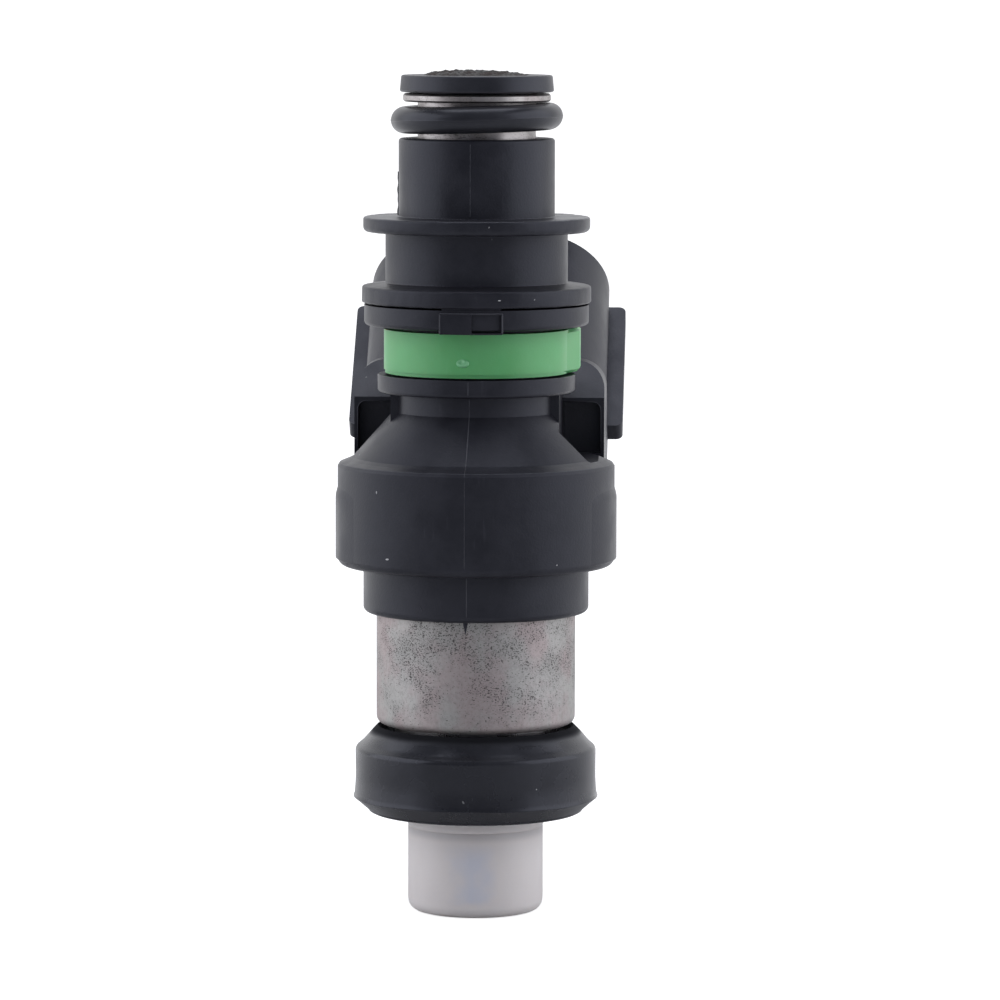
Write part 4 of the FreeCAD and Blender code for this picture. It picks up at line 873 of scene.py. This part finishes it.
copper_wire = steel_finish("copper_wire", (0.72, 0.33, 0.15), (0.6, 0.24, 0.1), rough=0.25, lines=0.0)
winding_low, winding_high = sides("coil_winding")
coil_low, coil_high, coil_out = winding_low[2], winding_high[2], winding_high[0]
coil_in, wire_turns, rib_end = 5.77, 28, 1.45
wire_r = (coil_high - coil_low) / wire_turns / 2
coil_corners = [(coil_in, coil_low, 0)]
for k in range(wire_turns):
    middle = coil_low + wire_r * (2 * k + 1)
    for q in np.linspace(-rib_end, rib_end, 6):
        coil_corners.append((coil_out - wire_r + wire_r * math.cos(q), middle + wire_r * math.sin(q), 0))
coil_corners.append((coil_in, coil_high, 0))
coil = turned("copper_turns", coil_corners, around=96)
dress(coil, copper_wire)
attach(coil, "injector")
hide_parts("coil_winding")
bobbin_nylon = moulded_finish("bobbin_nylon", (0.13, 0.07, 0.035), (0.2, 0.12, 0.07), rough=0.5)
dress(nodes["coil_bobbin"], bobbin_nylon)


# ---- Return spring ------------------------------------------------------------------------
# Round spring wire, ends closed, between the armature's seat and the adjusting tube. Its
# upper end stands still, and the rising needle squashes it.

spring_steel = steel_finish("spring_steel", (0.42, 0.42, 0.44), (0.34, 0.33, 0.36), rough=0.3, lines=0.2)


def wound_spring(name, coil_r, wire_r, low, high, turns):
    """Round wire on a helix: the angle runs evenly, and the height rises by one wire in the
    first and last turn, which makes them close, and evenly between them."""
    count = turns * 32 + 1
    turn = np.linspace(0, turns, count)
    rise = high - low - 2 * wire_r
    knots = [0, 2 * wire_r, rise - 2 * wire_r, rise]
    level = low + wire_r + np.interp(turn, [0, 1, turns - 1, turns], knots)[:, None]
    angle = 2 * np.pi * turn[:, None]
    b = np.linspace(0, 2 * np.pi, 12, endpoint=False)[None, :]
    reach = coil_r + wire_r * np.cos(b)
    grid = np.stack([reach * np.cos(angle), reach * np.sin(angle), level + wire_r * np.sin(b)], -1)
    ends = grid[[0, -1]].mean(axis=1, keepdims=True) + 0 * grid[[0, -1]]
    grid = np.concatenate([ends[:1], grid, ends[1:]])
    return skin(name, grid / 1000, close_across=True, soft_deg=60)


spring_wire_r, spring_turns = 0.175, 9
spring_low, spring_high = sides("return_spring")
spring_r = spring_high[0] - spring_wire_r
spring = wound_spring("closing_spring", spring_r, spring_wire_r, spring_low[2], spring_high[2], spring_turns)
dress(spring, spring_steel)
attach(spring, "injector")
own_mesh(spring)
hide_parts("return_spring")


# ---- Floor, light and camera --------------------------------------------------------------
# White paper that runs up behind the injector, a soft box on each side and one overhead, and
# a long lens.

rest_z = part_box("protective_cap")[0].z
floor_front, floor_back, bend_r, wall_top = -1.5, 0.9, 0.5, 2.2
bend = np.linspace(0.05, np.pi / 2, 16)
floor_y, bend_y = np.linspace(floor_front, floor_back, 25), floor_back + bend_r * np.sin(bend)
sweep_y = np.concatenate([floor_y, bend_y, np.full(6, floor_back + bend_r)])
bend_z, wall_z = bend_r - bend_r * np.cos(bend), np.linspace(bend_r + 0.1, wall_top, 6)
sweep_z = np.concatenate([0 * floor_y, bend_z, wall_z])
sweep_x = np.linspace(-2, 2, 9)
paper_grid = np.stack(np.broadcast_arrays(sweep_x[None, :], sweep_y[:, None], sweep_z[:, None] + rest_z), -1)
paper = skin("paper", paper_grid, close_across=False)
paper_white = bpy.data.materials.new("paper_white")
paper_white.use_nodes = True
board = Board(paper_white.node_tree)
shader = paper_white.node_tree.nodes["Principled BSDF"]
place = board.add("ShaderNodeTexCoord").outputs["Object"]
back = board.add("ShaderNodeSeparateXYZ", Vector=place).outputs[1]
tooth = board.noise(place, 900.0, 2.0)
board.feed(shader.inputs["Base Color"], board.mix(tooth, (0.5, 0.5, 0.5, 1), (0.54, 0.54, 0.54, 1)))
board.feed(shader.inputs["Roughness"], 0.9)
shader.inputs["Specular IOR Level"].default_value = 0.1
# The paper glows white for the camera. Reflections see painted shade on it in front, and a painted shadow
# round the foot.
rays = board.add("ShaderNodeLightPath")
seen = board.math("ADD", rays.outputs["Is Camera Ray"], rays.outputs["Is Glossy Ray"])
seen = board.math("ADD", seen, rays.outputs["Is Transmission Ray"], clamp=True)
glow = board.step(back, 0.1, 0.6, 0.8, 1.0)
reflection_shade = board.step(back, -0.25, 0.12, 0.15, 1.0)
reach = board.add("ShaderNodeVectorMath", {"operation": "LENGTH"}, i0=place).outputs[1]
reflection_shade = board.math("MULTIPLY", reflection_shade, board.step(reach, 0.01, 0.14, 0.08, 1.0))
reflection_shade = board.math("MAXIMUM", reflection_shade, rays.outputs["Is Camera Ray"])
board.feed(shader.inputs["Emission Color"], (1, 1, 1, 1))
shine = board.math("MULTIPLY", seen, glow)
board.feed(shader.inputs["Emission Strength"], board.math("MULTIPLY", shine, reflection_shade))
dress(paper, paper_white)
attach(paper, "cap")

room = bpy.data.worlds.new("room")
bpy.context.scene.world = room
room.use_nodes = True
room.node_tree.nodes["Background"].inputs["Color"].default_value = (0.8, 0.85, 1.0, 1)
room.node_tree.nodes["Background"].inputs["Strength"].default_value = 0.26


def soft_box(name, bearing_deg, distance, level, width, height, power):
    """Rectangular lamp aimed at the injector's middle. Bearing 0 is in front, 90 to the right."""
    lamp = bpy.data.lights.new(name, "AREA")
    lamp.shape = "RECTANGLE"
    lamp.size, lamp.size_y = width, height
    lamp.energy = power
    lamp.color = (0.94, 0.95, 1.0)
    made = bpy.data.objects.new(name, lamp)
    bpy.context.scene.collection.objects.link(made)
    turn = math.radians(bearing_deg)
    made.location = (distance * math.sin(turn), -distance * math.cos(turn), level)
    aim = Vector((0, 0, 0.025)) - made.location
    made.rotation_euler = aim.to_track_quat("-Z", "Y").to_euler()
    return made


side_lamp = {"distance": 0.55, "level": 0.16, "width": 0.75, "height": 0.8, "power": 3.4}
soft_box("soft_box_left", -86, **side_lamp)
soft_box("soft_box_right", 86, **side_lamp)
soft_box("soft_box_top", 180, distance=0.06, level=0.6, width=0.45, height=0.3, power=1.5)

scene = bpy.context.scene
camera = bpy.data.objects.new("camera", bpy.data.cameras.new("camera"))
scene.collection.objects.link(camera)
camera.data.sensor_width = 36.0
camera.data.lens = 200.9
camera.data.clip_start = 0.01
camera.data.clip_end = 20.0
# The lens stands a little to the right and above, looks slightly down and leans a touch.
stand_off, eye_level = 0.4709, 0.06927
swing_deg, pan_deg, dip_deg, lean_deg = 2.8, 0.246, 5.6, 0.14
bearing = math.radians(swing_deg)
camera.location = (stand_off * math.sin(bearing), -stand_off * math.cos(bearing), eye_level)
heading, dip = math.radians(pan_deg - swing_deg), math.radians(dip_deg)
aim = Vector((math.sin(heading) * math.cos(dip), math.cos(heading) * math.cos(dip), -math.sin(dip)))
upright = aim.to_track_quat("-Z", "Y").to_matrix().to_4x4()
camera.rotation_euler = (upright @ Matrix.Rotation(math.radians(lean_deg), 4, "Z")).to_euler()
scene.camera = camera

scene.view_settings.view_transform = "Standard"
